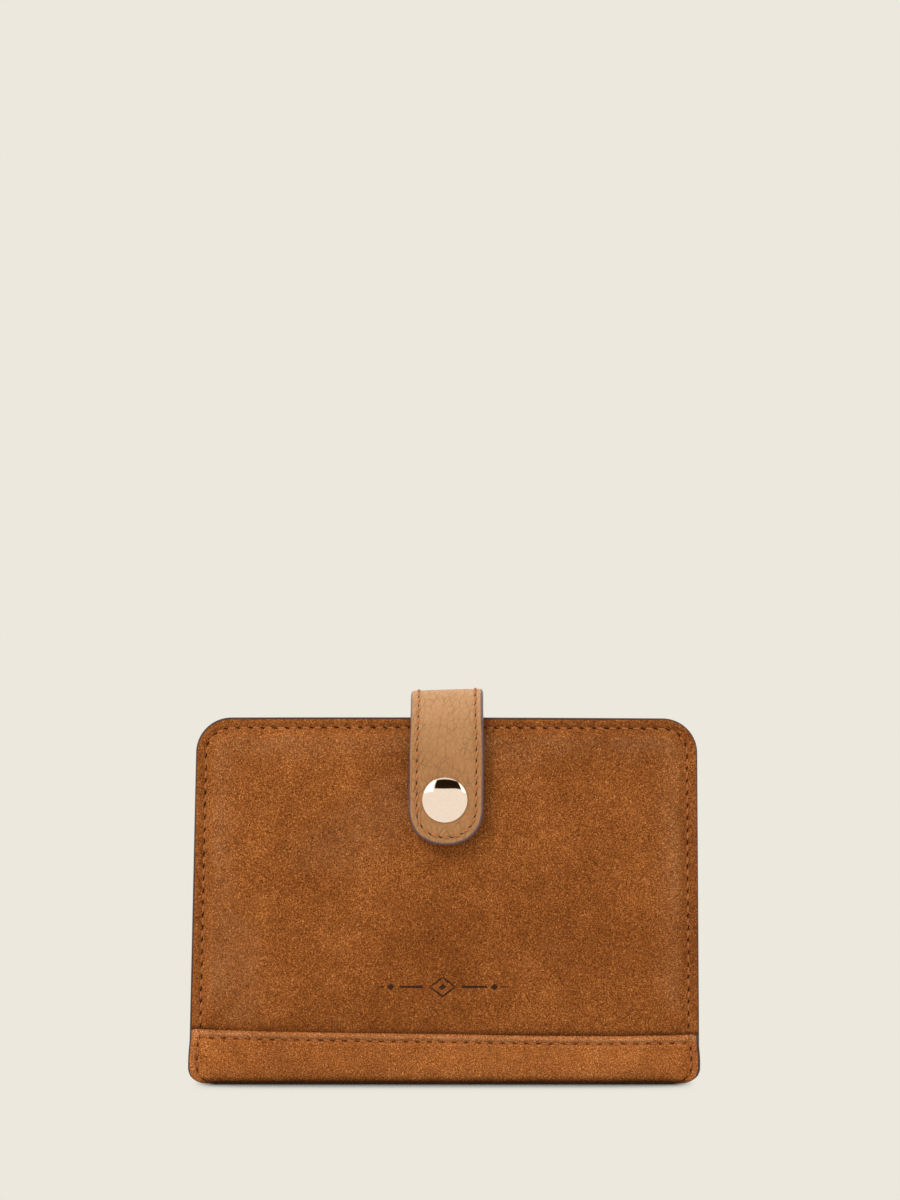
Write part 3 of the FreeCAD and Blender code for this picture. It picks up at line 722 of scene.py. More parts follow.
COVER_SHAPE = (half_width(3.5), HALF_TOP, 3.5, COVER_TOP, 0.5, CORNER_R)
NB, NS, NA = 330, 216, 26
INSETS = [0.0, 0.1, 0.25, 0.5, 0.85, 1.3, 1.75, 2.05, 2.3, 2.6, 2.9, 3.15, 3.45, 3.85, 4.3, 4.85, 5.5, 6.3, 7.3, 8.6, 10.2, 12.2,
          14.6, 17.4, 20.6, 24.2, 28.2, 32.6, 37.2, 41.8]


def cover_ring(i):
    return outline(i, *COVER_SHAPE, NB, NS, NA)


def seam_path(inset, low):
    """The stitch line from the lower left, over the top, to the lower right, in x and w."""
    p = outline(inset, *COVER_SHAPE, 200, 140, 20)
    q = np.concatenate([p, p[:1]])
    # down the left is the last stretch, so the line is taken backwards from there
    order = q[::-1]
    keep = [k for k in order if k[1] >= low]
    left = [k for k in keep]
    return np.array(left)


def cover(side):
    body = f"{side}_cover"
    line = seam_path(STITCH_IN, 13.6)
    holes2, tan2 = resample(line, 3.4, 0.6, 0.6)
    # panel
    ring0 = cover_ring(STITCH_IN)
    closed = np.concatenate([ring0, ring0[:1]])
    near = np.full(len(ring0), 99.0)
    for h in holes2:
        d = np.hypot(ring0[:, 0] - h[0], ring0[:, 1] - h[1])
        near = np.minimum(near, d)
    pucker = np.exp(-((near / 0.62) ** 2))
    swell = np.exp(-((near / 1.1) ** 2))
    rings, tags, scuff_and_painted_light_rings = [], [], []
    last = cover_ring(INSETS[-1])
    mid = collapse(last, HALF_TOP - 47.5, (3.5 + COVER_TOP) / 2)
    rings.append(place(side, mid[:, 0], -suede_height(mid[:, 0], mid[:, 1], side), mid[:, 1]))
    scuff_and_painted_light_rings.append(np.zeros(len(mid)))
    for i in reversed(INSETS):
        xy = cover_ring(i)
        ii = inset_of(xy[:, 0], xy[:, 1])
        # scuffing and painted light in one mask: the padded roll near 6 mm in is lighter, partly scuffed nap and partly
        # painted light where it faces the light; the outermost edge lighter; the noisy patches are scuffed nap; just
        # above the strip it is darkened as painted shadow, and along the stitch line and the rim outside it as painted
        # shade
        scuff_and_painted_light = 0.95 * np.exp(-(((ii - 6.2) / np.where(ii < 6.2, 1.6, 4.2)) ** 2)) + 0.35 * smooth((1.4 - ii) / 1.2)
        scuff_and_painted_light = scuff_and_painted_light * (0.8 + 0.5 * noise_at(xy[:, 0], xy[:, 1], 16.0, 51)) * smooth((xy[:, 1] - 15) / 10)
        scuff_and_painted_light = scuff_and_painted_light + 0.55 * smooth((noise_at(xy[:, 0], xy[:, 1], 24.0, 55) - 0.05) / 0.4) * smooth((ii - 6) / 8)
        above = xy[:, 1] - STRIP_TOP - top_bow(xy[:, 0])
        scuff_and_painted_light = np.clip(scuff_and_painted_light * 0.50, 0, 1) - 0.62 * smooth((1.2 - above) / 1.0) * (above > -2)
        scuff_and_painted_light = scuff_and_painted_light - 0.18 * bump(i, STITCH_IN, 0.3) - 0.15 * smooth((2.7 - ii) / 0.8) * smooth((xy[:, 1] - 15) / 5)
        scuff_and_painted_light_rings.append(np.clip(scuff_and_painted_light, -1, 1))
        h = suede_height(xy[:, 0], xy[:, 1], side)
        h = h - 0.20 * pucker * bump(i, STITCH_IN, 0.5) - 0.10 * swell * bump(i, 3.9, 0.9) + 0.05 * (1 - swell) * bump(i, 4.1, 1.0)
        rings.append(place(side, xy[:, 0], -h, xy[:, 1]))
        tags.append(0)
    edge = cover_ring(0.0)
    rings.append(place(side, edge[:, 0], np.full(len(edge), 1.05), edge[:, 1]))
    tags.append(0)
    rings.append(place(side, mid[:, 0], np.full(len(edge), 1.1), mid[:, 1]))
    tags.append(0)
    scuff_and_painted_light_rings += [np.zeros(len(mid))] * 2
    v, f, ix = loops_mesh(rings, tags)
    panel = build(f"{side}_suede", v, f, SUEDE, ix, merge=True, scuff_and_painted_light=np.concatenate(scuff_and_painted_light_rings))
    fit(panel, body, "suede", f"{side}_suede_panel", f"{side}_padding")

    # stitches, laid in the groove
    def on_face(xy):
        return place(side, xy[:, 0], -(suede_height(xy[:, 0], xy[:, 1], side, False) - 0.06), xy[:, 1])
    nor = np.tile(out_normal(side), (len(holes2), 1))
    th, sl = stitches(f"{side}_edge_stitches", on_face(holes2), nor, (THREAD, HOLE_SHADE), r=0.24, gap=1.25, slant=0.12, lift=0.03,
                      slit=(1.75, 0.44), slit_turn=-15.0 if side == "front" else 15.0, slit_lift=0.05, jitter=0.1)
    fit(th, body, "thread", f"{side}_edge_thread", f"{side}_seam_thread")
    fit(sl, body, "thread")

    # painted edge: one band round suede, board and lining
    p = cover_ring(0.0)
    order = np.roll(p, -NB - NA, axis=0)[: len(p) - NB - NA + 1]
    path2 = order[order[:, 1] > 3.4]
    t2 = np.gradient(path2, axis=0)
    t2 /= np.linalg.norm(t2, axis=1)[:, None]
    n2 = np.stack([t2[:, 1], -t2[:, 0]], -1)
    section = [(-0.7, 0.75), (-0.30, 0.06), (-0.04, 0.10), (0.20, 0.40), (0.30, 0.9), (0.32, 1.5), (0.29, 2.0), (0.16, 2.45), (-0.08, 2.74),
               (-0.34, 2.84), (-0.7, 2.2)]
    verts, faces = [], []
    m = len(section)
    for (x, w), (nx, nw) in zip(path2, n2):
        right = smooth((x - 40) / 26) if side == "front" else smooth((-x - 40) / 26)
        wob = 0.04 * noise.noise(Vector((x / 6, w / 6, 3.0)))
        for j, (a, dd) in enumerate(section):
            a2, d2 = a, dd
            if j in (1, 2):
                a2 = a - 0.20 * right + wob
                d2 = dd - (0.02 if j == 1 else 0.0)
            verts.append(place(side, x + nx * a2, d2, w + nw * a2))
    k = len(path2)
    for i in range(k - 1):
        for s in range(m):
            s2 = (s + 1) % m
            faces.append((i * m + s, i * m + s2, (i + 1) * m + s2, (i + 1) * m + s))
    faces.append(tuple(range(m)))
    faces.append(tuple(range((k - 1) * m, k * m)))
    band = build(f"{side}_edge_paint", verts, faces, EDGE)
    fit(band, body, "suede", f"{side}_board")

    # lining, its face towards the inside
    def groove(x, w, i):
        return 0.05 * bump(i, 1.2, 0.7) - 0.12 * bump(i, STITCH_IN, 0.4)
    ins = [0.35, 0.5, 0.7, 1.0, 1.5, 2.0, 2.3, 2.6, 2.9, 3.3, 4.5, 8, 16, 26, 36]
    lin_ = plate(f"{side}_lining_leather", side, [LINING], D_IN, 1.95, (half_width(1.6) - 0.3, HALF_TOP - 0.3, 1.6, COVER_TOP - 0.3, 0.5, CORNER_R - 0.3),
                 [0] + ins[1:], groove, step=1.2)
    fit(lin_, body, "lining", f"{side}_lining")

    # banknote panel and its rim
    def lip(x, w, i):
        return 0.10 * bump(BILL_TOP - w, 1.2, 0.8) - 0.09 * bump(BILL_TOP - w, 3.1, 0.35) - 0.10 * bump(i, 2.3, 0.35) * (w < BILL_TOP - 3)
    bill = plate(f"{side}_bill_pocket", side, [INNER, EDGE], D_BILL_IN, D_BILL, (half_width(3) - 0.35, half_width(BILL_TOP) - 0.35, 3.0, BILL_TOP, 0.6, 0.8),
                 [0, 0.08, 0.2, 0.4, 0.8, 1.4, 1.9, 2.1, 2.3, 2.5, 2.8, 3.1, 3.6, 5, 9, 18, 30, 40], lip, edge_tag=1, step=1.4, edge_until=0.15)
    fit(bill, body, "inner_leather", f"{side}_bill_panel")
    # the seam allowance between lining and panel, down both sides
    for s, tag in ((-1, "left"), (1, "right")):
        zs = np.linspace(3.2, BILL_TOP - 1.0, 40)
        pth = [np.array([s * (half_width(w) - 2.3), 0, w]) for w in zs]
        vv, ff = [], []
        sec = [(-1.9, 2.82), (1.85, 2.82), (1.95, 3.2), (1.85, 3.6), (-1.9, 3.6), (-2.1, 3.2)]
        for q in pth:
            for a, dd in sec:
                vv.append(place(side, q[0] + s * a, dd, q[2]))
        for i in range(len(pth) - 1):
            for j in range(6):
                j2 = (j + 1) % 6
                ff.append((i * 6 + j, i * 6 + j2, (i + 1) * 6 + j2, (i + 1) * 6 + j))
        ff.append(tuple(range(6)))
        ff.append(tuple(range((len(pth) - 1) * 6, len(pth) * 6)))
        fit(build(f"{side}_bill_rim_{tag}", vv, ff, EDGE), body, "inner_leather")

    # inside stitches: down both sides of the panel and over the lining's top
    def inner_depth(w):
        return np.where(w > BILL_TOP, D_IN - 0.08, D_BILL_IN - 0.06)
    for part, lo_, hi_ in (("top", BILL_TOP + 0.6, 200), ("left", 4.5, BILL_TOP - 0.5), ("right", 4.5, BILL_TOP - 0.5)):
        pth = seam_path(STITCH_IN, 4.5)
        if part == "top":
            sel = pth[pth[:, 1] > lo_]
        elif part == "left":
            sel = pth[(pth[:, 1] < hi_) & (pth[:, 0] < 0)]
        else:
            sel = pth[(pth[:, 1] < hi_) & (pth[:, 0] > 0)]
        hs, _ = resample(sel, 3.4, 0.2, 0.2)
        pp = place(side, hs[:, 0], inner_depth(hs[:, 1]), hs[:, 1])
        nn = np.tile(-out_normal(side), (len(hs), 1))
        th, sl = stitches(f"{side}_inner_stitches_{part}", pp, nn, (THREAD, HOLE_SHADE), r=0.2, gap=0.7, lift=0.1, slit=(0.8, 0.36), slit_turn=12, slit_lift=0.05)
        fit(th, body, "thread", *([f"{side}_inner_thread"] if part == "top" else []))
        fit(sl, body, "thread")


cover("front")
cover("back")

# ---------------------------------------------------------------------------
# spine strip: one suede strip that wraps under both covers, in two halves
# ---------------------------------------------------------------------------
def strip_section():
    """The strip's outer line, from the top of the wing to the middle of the base: y, z, and outward normal."""
    pts = []
    for w in np.concatenate([np.linspace(STRIP_TOP, STRIP_TOP - 4, 24), np.linspace(STRIP_TOP - 4, 2.0, 16)[1:]]):
        y = -A + (-STRIP_T - D_AX) * COS + w * SIN
        z = CREASE_IN + w * COS + (STRIP_T + D_AX) * SIN
        pts.append((y, z, STRIP_TOP - w))
    y0, z0, s0 = pts[-1]
    # the bend: a quarter turn from the wing's line to the table
    r = 2.6
    yb = -A + (-STRIP_T - D_AX) * COS + r * SIN * 0.6
    s = s0
    prev = (y0, z0)
    for k in range(1, 13):
        a = math.pi / 2 * k / 12
        y = yb + r - r * math.cos(a)
        z = r - r * math.sin(a)
        if z > z0 - 0.1:
            continue
        s += math.hypot(y - prev[0], z - prev[1])
        prev = (y, z)
        pts.append((y, z, s))
    for y in np.linspace(prev[0], 0.0, 14)[1:]:
        s += y - prev[0]
        prev = (y, 0.0)
        pts.append((y, 0.0, s))
    p = np.array(pts)
    t = np.gradient(p[:, :2], axis=0)
    t /= np.linalg.norm(t, axis=1)[:, None]
    n = np.stack([t[:, 1], -t[:, 0]], -1)
    # going down the wing, outwards is -Y; along the base, outwards is down
    if n[0, 0] > 0:
        n = -n
    return p, n


SEC, SECN = strip_section()


def strip_half(side):
    sgn = 1.0 if side == "front" else -1.0
    ends = [0.0, 0.08, 0.2, 0.4, 0.65, 1.0, 1.5, 2.0, 2.35, 2.6, 2.85, 3.1, 3.35, 3.7, 4.2, 5.0]
    count = 300
    inner_cols = np.linspace(-1, 1, count + 2)[1:-1]
    rows = len(SEC)
    def length(z, s):
        base = STRIP_HALF - 0.55 * smooth((z - 6.0) / 8.0)
        base = np.where(z < 4.4, base - (4.4 - np.sqrt(np.clip(4.4 ** 2 - (4.4 - z) ** 2, 0, None))), base)
        base = base - (0.9 - np.sqrt(np.clip(0.81 - np.clip(0.9 - s, 0, None) ** 2, 0, None)))
        under = smooth((s - 15.5) / 5.0)
        return base * (1 - under) + BASE_HALF * under
    pitch = 3.35
    outer, inner, uvs, insets, scuff_and_painted_light_values = [], [], [], [], []
    for k in range(rows):
        y, z, s = SEC[k]
        ny, nz = SECN[k]
        L = float(length(np.array(z), np.array(s)))
        xs = np.concatenate([-(L - np.array(ends)), inner_cols * (L - 5.6), (L - np.array(ends))[::-1]])
        ins = L - np.abs(xs)
        fade = 1 - smooth(np.array((s - 1.5) / 7.5))
        lift = top_bow(xs) * fade
        # relief on the outer side
        e = np.full(len(xs), -(0.55 - math.sqrt(max(0.55 ** 2 - max(0.55 - s, 0) ** 2, 0))))
        rr = np.where(xs > 0, 0.75, 0.5)
        e = e - (rr - np.sqrt(np.clip(rr ** 2 - np.clip(rr - ins, 0, None) ** 2, 0, None)))
        ends_ok = smooth((ins - 0.3) / 1.0)
        e = e + 0.38 * bump(s, 1.05, 0.72) * (0.35 + 0.65 * smooth((ins - 1.0) / 3.0))
        phase = (np.abs(((xs + 200) % pitch) - pitch / 2))
        e = e - (0.20 + 0.16 * np.exp(-((phase / 0.6) ** 2))) * bump(s, 2.25, 0.42) * smooth((ins - 1.6) / 1.2)
        e = e + 0.10 * bump(s, 3.6, 0.9) * ends_ok
        side_line = 2.45 + 0.5 * smooth(np.array((s - 9.0) / 4.5))
        wing = 1 - smooth(np.array((s - 13.0) / 2.0))
        e = e - 0.30 * bump(ins, side_line, 0.34) * smooth(np.array((s - 0.2) / 0.5)) * wing
        e = e + 0.07 * bump(ins, 1.5, 0.6) * wing
        if z > 0.6:
            wv = noise_at(xs, np.full(len(xs), s * 1.4), 17.0, 6 if side == "front" else 8)
            e = e + 0.13 * wv * smooth(np.array((s - 3.5) / 3.0)) * smooth(np.array(z / 3.0)) * ends_ok
        Y, Z = y + ny * e, z + nz * e + lift
        Z = np.maximum(Z, 0.0)
        outer.append(np.stack([xs, Y * sgn, Z], -1))
        Yi, Zi = y - ny * 1.12, z - nz * 1.12 + lift
        inner.append(np.stack([xs, np.full(len(xs), Yi * sgn), Zi], -1))
        uvs.append(np.stack([xs + (0 if side == "front" else 300), np.full(len(xs), -s)], -1))
        insets.append(ins)
        # painted light and shade on the strip: a painted highlight on the rolled band below the fold and along the
        # rolled ends, painted shade at the fold itself, in the stitch grooves, down the side stitch lines and near the
        # floor
        wr = 0.75 * bump(s, 1.2, 0.75) - 0.45 * smooth(np.array((0.22 - s) / 0.2)) - 0.35 * bump(s, 2.25, 0.28) * smooth((ins - 1.6) / 1.2)
        wr = wr - 0.55 * bump(ins, side_line, 0.28) * wing * smooth(np.array((s - 0.2) / 0.5)) + 0.25 * bump(ins, 1.3, 0.6) * wing
        wr = wr - 0.35 * smooth(np.array((1.6 - z) / 1.4))
        scuff_and_painted_light_values.append(np.full(len(xs), 0.0) + wr)
    cols = len(outer[0])
    V = np.concatenate([np.concatenate(outer), np.concatenate(inner)])
    V = warp(V)
    V[:, 2] = np.maximum(V[:, 2], 0.0)
    UV = np.concatenate([np.concatenate(uvs), np.concatenate(uvs) + np.array([0, 60.0])])
    off = rows * cols
    faces, index = [], []
    xs_sign = np.sign(outer[0][:, 0])
    for k in range(rows - 1):
        for c in range(cols - 1):
            a = k * cols + c
            faces.append((a, a + 1, a + cols + 1, a + cols))
            i_in = min(insets[k][c], insets[k][c + 1])
            lim = 0.45 if xs_sign[c] > 0 else 0.25
            index.append(1 if i_in < lim else 0)
            faces.append((off + a, off + a + cols, off + a + cols + 1, off + a + 1))
            index.append(2)
        for c in (0, cols - 1):
            a = k * cols + c
            faces.append((a, a + cols, off + a + cols, off + a))
            index.append(1)
    for k, tag in ((0, 0), (rows - 1, 2)):
        for c in range(cols - 1):
            a = k * cols + c
            faces.append((a, a + 1, off + a + 1, off + a))
            index.append(tag)
    ob = build(f"spine_strip_{side}", V, faces, [SUEDE_STRIP, EDGE_STRIP, LINING_UV], index, uv=UV,
               scuff_and_painted_light=np.clip(np.concatenate(scuff_and_painted_light_values + [np.zeros(rows * cols)]), -1, 1))
    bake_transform(ob)
    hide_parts(f"spine_strip_{side}_wing", "spine_strip_base")

    # seam along the top, and stitches down both ends
    def at(x, s, lift_mm=0.0, groove=0.18):
        y = np.interp(s, SEC[:, 2], SEC[:, 0])
        z = np.interp(s, SEC[:, 2], SEC[:, 1])
        ny = np.interp(s, SEC[:, 2], SECN[:, 0])
        nz = np.interp(s, SEC[:, 2], SECN[:, 1])
        fade = 1 - smooth((np.asarray(s) - 1.5) / 7.5)
        p = np.stack([x, (y + ny * (lift_mm - groove)) * sgn, z + nz * (lift_mm - groove) + top_bow(x) * fade], -1)
        return warp(p), np.stack([np.zeros_like(y), ny * sgn, nz], -1)
    n = int(2 * 67.4 / pitch)
    first = -200 + pitch / 2
    xs = np.array([first + pitch * k for k in range(1000) if abs(first + pitch * k) < 67.3])
    p, nn = at(xs, np.full(len(xs), 2.25))
    th, sl = stitches(f"spine_seam_{side}", p, nn, (THREAD, HOLE_SHADE_SOFT), r=0.22, gap=1.2, slant=0.10, lift=0.03, slit=(1.4, 0.26),
                      slit_turn=-7.0 if side == "front" else 7.0, slit_lift=0.05, jitter=0.1)
    fit(th, f"{side}_cover", "thread")
    fit(sl, f"{side}_cover", "thread")
    for s_, tag in ((-1, "left"), (1, "right")):
        ss = np.linspace(0.9, 13.0, 80)
        zz = np.interp(ss, SEC[:, 2], SEC[:, 1])
        LL = STRIP_HALF - 0.55 * smooth((zz - 6.0) / 8.0)
        LL = np.where(zz < 4.4, LL - (4.4 - np.sqrt(np.clip(4.4 ** 2 - (4.4 - zz) ** 2, 0, None))), LL)
        xx = s_ * (LL - (2.45 + 0.5 * smooth((ss - 9.0) / 4.5)))
        path = np.stack([xx, ss], -1)
        hs, _ = resample(path, 3.1)
        p, nn = at(hs[:, 0], hs[:, 1], 0.0, 0.12)
        th, sl = stitches(f"spine_end_stitches_{side}_{tag}", p, nn, (THREAD, HOLE_SHADE), r=0.2, gap=1.0, slant=0.06, lift=0.0, slit=(1.0, 0.36),
                          slit_turn=-10.0, slit_lift=0.05)
        for o in (th, sl):
            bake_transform(o)


strip_half("front")
strip_half("back")


def crease_lining(side):
    """The lining's soft hinge inside each crease, and half of the spine's lining."""
    sgn = 1.0 if side == "front" else -1.0
    line = []
    for w in np.linspace(12.0, 3.0, 10):
        y = -A + (D_IN + 0.05 - D_AX) * COS + w * SIN
        z = CREASE_IN + w * COS - (D_IN - D_AX) * SIN
        line.append((y, z))
    y0, z0 = line[-1]
    for t in np.linspace(0, 1, 10)[1:]:
        a = t * math.pi / 2
        line.append((y0 + 2.2 * (1 - math.cos(a)) - 0.35 * math.sin(2 * a), z0 - (z0 - 2.0) * math.sin(a)))
    yl = line[-1][0]
    for y in np.linspace(yl, 0, 12)[1:]:
        line.append((y, 2.0 + 0.12 * math.sin(y * 0.9) * (abs(y) > 0.5)))
    line = np.array(line)
    t = np.gradient(line, axis=0)
    t /= np.linalg.norm(t, axis=1)[:, None]
    n = np.stack([-t[:, 1], t[:, 0]], -1)
    if n[0, 0] < 0:
        n = -n
    cum = np.concatenate([[0], np.cumsum(np.linalg.norm(np.diff(line, axis=0), axis=1))])
    xs = np.concatenate([[-66.3, -66.15, -65.8, -65.0], np.linspace(-63, 63, 90), [65.0, 65.8, 66.15, 66.3]])
    verts, uv = [], []
    for layer in (0, 1):
        for k in range(len(line)):
            wr = noise_at(xs, np.full(len(xs), cum[k] * 2.5), 9.0, 21) * 0.10
            soft = np.interp(np.abs(xs), [64, 66.3], [0, 0.35])
            o = (0.0 + wr - soft) if layer == 0 else np.full(len(xs), -0.62)
            verts.append(np.stack([xs, (line[k, 0] + n[k, 0] * o) * sgn, line[k, 1] + n[k, 1] * o], -1))
            uv.append(np.stack([xs, np.full(len(xs), cum[k] + layer * 50)], -1))
    V, UV = np.concatenate(verts), np.concatenate(uv)
    rows, cols = len(line), len(xs)
    off = rows * cols
    faces = []
    for k in range(rows - 1):
        for c in range(cols - 1):
            a = k * cols + c
            faces.append((a, a + 1, a + cols + 1, a + cols))
            faces.append((off + a, off + a + cols, off + a + cols + 1, off + a + 1))
        for c in (0, cols - 1):
            a = k * cols + c
            faces.append((a, a + cols, off + a + cols, off + a))
    for k in (0, rows - 1):
        for c in range(cols - 1):
            a = k * cols + c
            faces.append((a, a + 1, off + a + 1, off + a))
    ob = build(f"spine_inner_lining_{side}", V, faces, LINING_UV, uv=UV)
    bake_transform(ob)
    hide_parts("spine_lining")


crease_lining("front")
crease_lining("back")

# ---------------------------------------------------------------------------
# ornament pressed into the front cover: a plain lozenge between two tapered bars
# ---------------------------------------------------------------------------
def ornament():
    cx, cw = -0.6, 25.2
    shapes = []
    def lozenge(x, w, a, b):
        return [(x - a, w), (x, w + b), (x + a, w), (x, w - b)]
    def frame_loz(x, w, a, b, t):
        o, i = lozenge(x, w, a, b), lozenge(x, w, a - t * 1.45, b - t * 1.2)
        return [[o[k], o[(k + 1) % 4], i[(k + 1) % 4], i[k]] for k in range(4)]
    shapes += frame_loz(cx, cw, 3.9, 3.0, 0.6)
    shapes.append(lozenge(cx, cw, 1.3, 1.0))
    for s in (-1, 1):
        shapes.append([(cx + s * 5.2, cw + 0.5), (cx + s * 12.4, cw + 0.26), (cx + s * 12.4, cw - 0.26), (cx + s * 5.2, cw - 0.5)])
        shapes.append(lozenge(cx + s * 14.3, cw, 1.2, 1.1))
        shapes.append([(cx + s * 16.1, cw + 0.26), (cx + s * 18.3, cw + 0.1), (cx + s * 18.3, cw - 0.1), (cx + s * 16.1, cw - 0.26)])
    verts, faces = [], []
    for poly in shapes:
        poly = [np.array(p, float) for p in poly]
        n = 14
        base = len(verts)
        # a small grid over the four corners, draped on the suede
        for layer, lift in ((0, 0.035), (1, -0.25)):
            for i in range(n + 1):
                for j in range(5):
                    u, v = i / n, j / 4
                    q = (poly[0] * (1 - u) + poly[1] * u) * (1 - v) + (poly[3] * (1 - u) + poly[2] * u) * v
                    h = float(suede_height(np.array(q[0]), np.array(q[1]), "front"))
                    rim = 0.05 if (i in (0, n) or j in (0, 4)) and layer == 0 else 0
                    verts.append(place("front", q[0], -(h + lift - rim), q[1]))
        g = 5
        top = (n + 1) * g
        for i in range(n):
            for j in range(4):
                a = base + i * g + j
                faces.append((a, a + 1, a + g + 1, a + g))
                b = a + top
                faces.append((b, b + g, b + g + 1, b + 1))
        ring = [base + j for j in range(g)] + [base + i * g + 4 for i in range(1, n + 1)] + [base + n * g + j for j in (3, 2, 1, 0)] + \
               [base + i * g for i in range(n - 1, 0, -1)]
        for k in range(len(ring)):
            a, b = ring[k], ring[(k + 1) % len(ring)]
            faces.append((a, b, b + top, a + top))
    ob = build("pressed_ornament", verts, faces, INK, merge=False)
    fit(ob, "front_cover", "suede")


ornament()

# ---------------------------------------------------------------------------
# coin pocket and zip, inside the front cover
# ---------------------------------------------------------------------------
def gusset():
    ring = outline(0, COIN_HALF - 0.02, COIN_HALF - 0.02, COIN_LOW, COIN_TOP, 4, 4, 90, 60, 10)
    t = np.roll(ring, -1, 0) - np.roll(ring, 1, 0)
    t /= np.linalg.norm(t, axis=1)[:, None]
    n = np.stack([t[:, 1], -t[:, 0]], -1)
    sec = [(0, 4.45), (-0.35, 5.2), (-1.3, 6.6), (-1.75, 7.2), (-1.3, 7.8), (-0.35, 9.2), (0, 9.98), (-0.75, 9.98), (-1.1, 9.1), (-2.1, 7.75), (-2.5, 7.2),
           (-2.1, 6.65), (-1.1, 5.3), (-0.75, 4.45)]
    rings = []
    for a, d in sec + [sec[0]]:
        rings.append(place("front", ring[:, 0] + n[:, 0] * a, np.full(len(ring), d), ring[:, 1] + n[:, 1] * a, False))
    v, f, ix = loops_mesh(rings)
    ob = build("coin_gusset_pleat", v, f, GUSSET, merge=True)
    fit(ob, "front_cover", "gusset_cloth", "coin_gusset")


gusset()
z0, z1 = ZIP_W - ZIP_SLOT, ZIP_W + ZIP_SLOT


def coin_relief(x, w, i):
    return 0.16 * bump(i, 1.0, 0.6) - 0.12 * bump(i, 2.1, 0.3) + 0.10 * smooth((i - 2.6) / 4.0) * (1 + 0.5 * noise_at(x, w, 24.0, 12))


pl = [0, 0.08, 0.2, 0.4, 0.7, 1.1, 1.6, 1.85, 2.1, 2.35, 2.7, 3.2, 4.2, 6, 9, 14, 20, 26]
ob = plate("coin_pocket_face", "front", [INNER, EDGE], D_COIN + COIN_T, D_COIN, (COIN_HALF, COIN_HALF, COIN_LOW, z0, 4.0, 0.5), pl, coin_relief,
           edge_tag=1, step=1.1, warped=False, edge_until=0.15)
fit(ob, "front_cover", "inner_leather", "coin_panel_lower")
ob = plate("coin_pocket_top", "front", [INNER, EDGE], D_COIN + COIN_T, D_COIN, (COIN_HALF, COIN_HALF, z1, COIN_TOP, 0.5, 4.0), pl[:14], coin_relief,
           edge_tag=1, step=1.1, warped=False, edge_until=0.15)
fit(ob, "front_cover", "inner_leather", "coin_panel_upper")


def rect_path(half, lo, hi, r):
    p = outline(0, half, half, lo, hi, r, r, 80, 60, 12)
    return np.concatenate([p, p[:1]])


def flat_stitches(name, path, depth, body, side, node=(), closed=False, r=0.19):
    hs, _ = resample(path, 3.2)
    pp = place(side, hs[:, 0], np.full(len(hs), depth), hs[:, 1], False)
    nn = np.tile(-out_normal(side), (len(hs), 1))
    th, sl = stitches(name, pp, nn, (THREAD_TAB, HOLE_SHADE), r=r, gap=0.75, lift=0.1, slit=(0.85, 0.34), slit_turn=12, slit_lift=0.06)
    fit(th, body, "thread", *node)
    fit(sl, body, "thread")


flat_stitches("coin_pocket_stitches", rect_path(COIN_HALF - 2.1, COIN_LOW + 2.1, z0 - 2.1, 2.2), D_COIN + COIN_T - 0.1, "front_cover", "front", ("coin_pocket_thread",))
flat_stitches("coin_top_stitches", rect_path(COIN_HALF - 2.1, z1 + 2.1, COIN_TOP - 2.1, 2.2), D_COIN + COIN_T - 0.1, "front_cover", "front")


def tapes():
    for name, node, sgn in (("zip_tape_low", "zip_tape_lower", -1), ("zip_tape_high", "zip_tape_upper", 1)):
        d = D_COIN - TAPE_T
        sec = [(2.35, d + 0.1), (2.35, D_COIN - 0.02), (2.55, D_COIN + 0.22), (2.95, D_COIN + 0.28), (3.3, D_COIN + 0.02), (4.4, D_COIN - 0.02), (7.0, D_COIN - 0.02),
               (10.3, D_COIN - 0.02), (10.4, D_COIN - 0.2), (10.3, d), (4.4, d), (3.3, d - 0.02), (2.95, d - 0.28), (2.55, d - 0.22)]
        xs = np.linspace(-59.3, 59.3, 240)
        verts, faces = [], []
        for k, x in enumerate(xs):
            rib = 0.03 * math.sin(k * 2.1)
            for a, dd in sec:
                verts.append(place("front", x, dd + (rib if 2.5 < a < 3.2 else 0), ZIP_W + sgn * a, False))
        m = len(sec)
        for i in range(len(xs) - 1):
            for s in range(m):
                s2 = (s + 1) % m
                faces.append((i * m + s, i * m + s2, (i + 1) * m + s2, (i + 1) * m + s))
        faces.append(tuple(range(m)))
        faces.append(tuple(range((len(xs) - 1) * m, len(xs) * m)))
        ob = build(name, verts, faces, TAPE)
        fit(ob, "front_cover", "tape", node)


tapes()


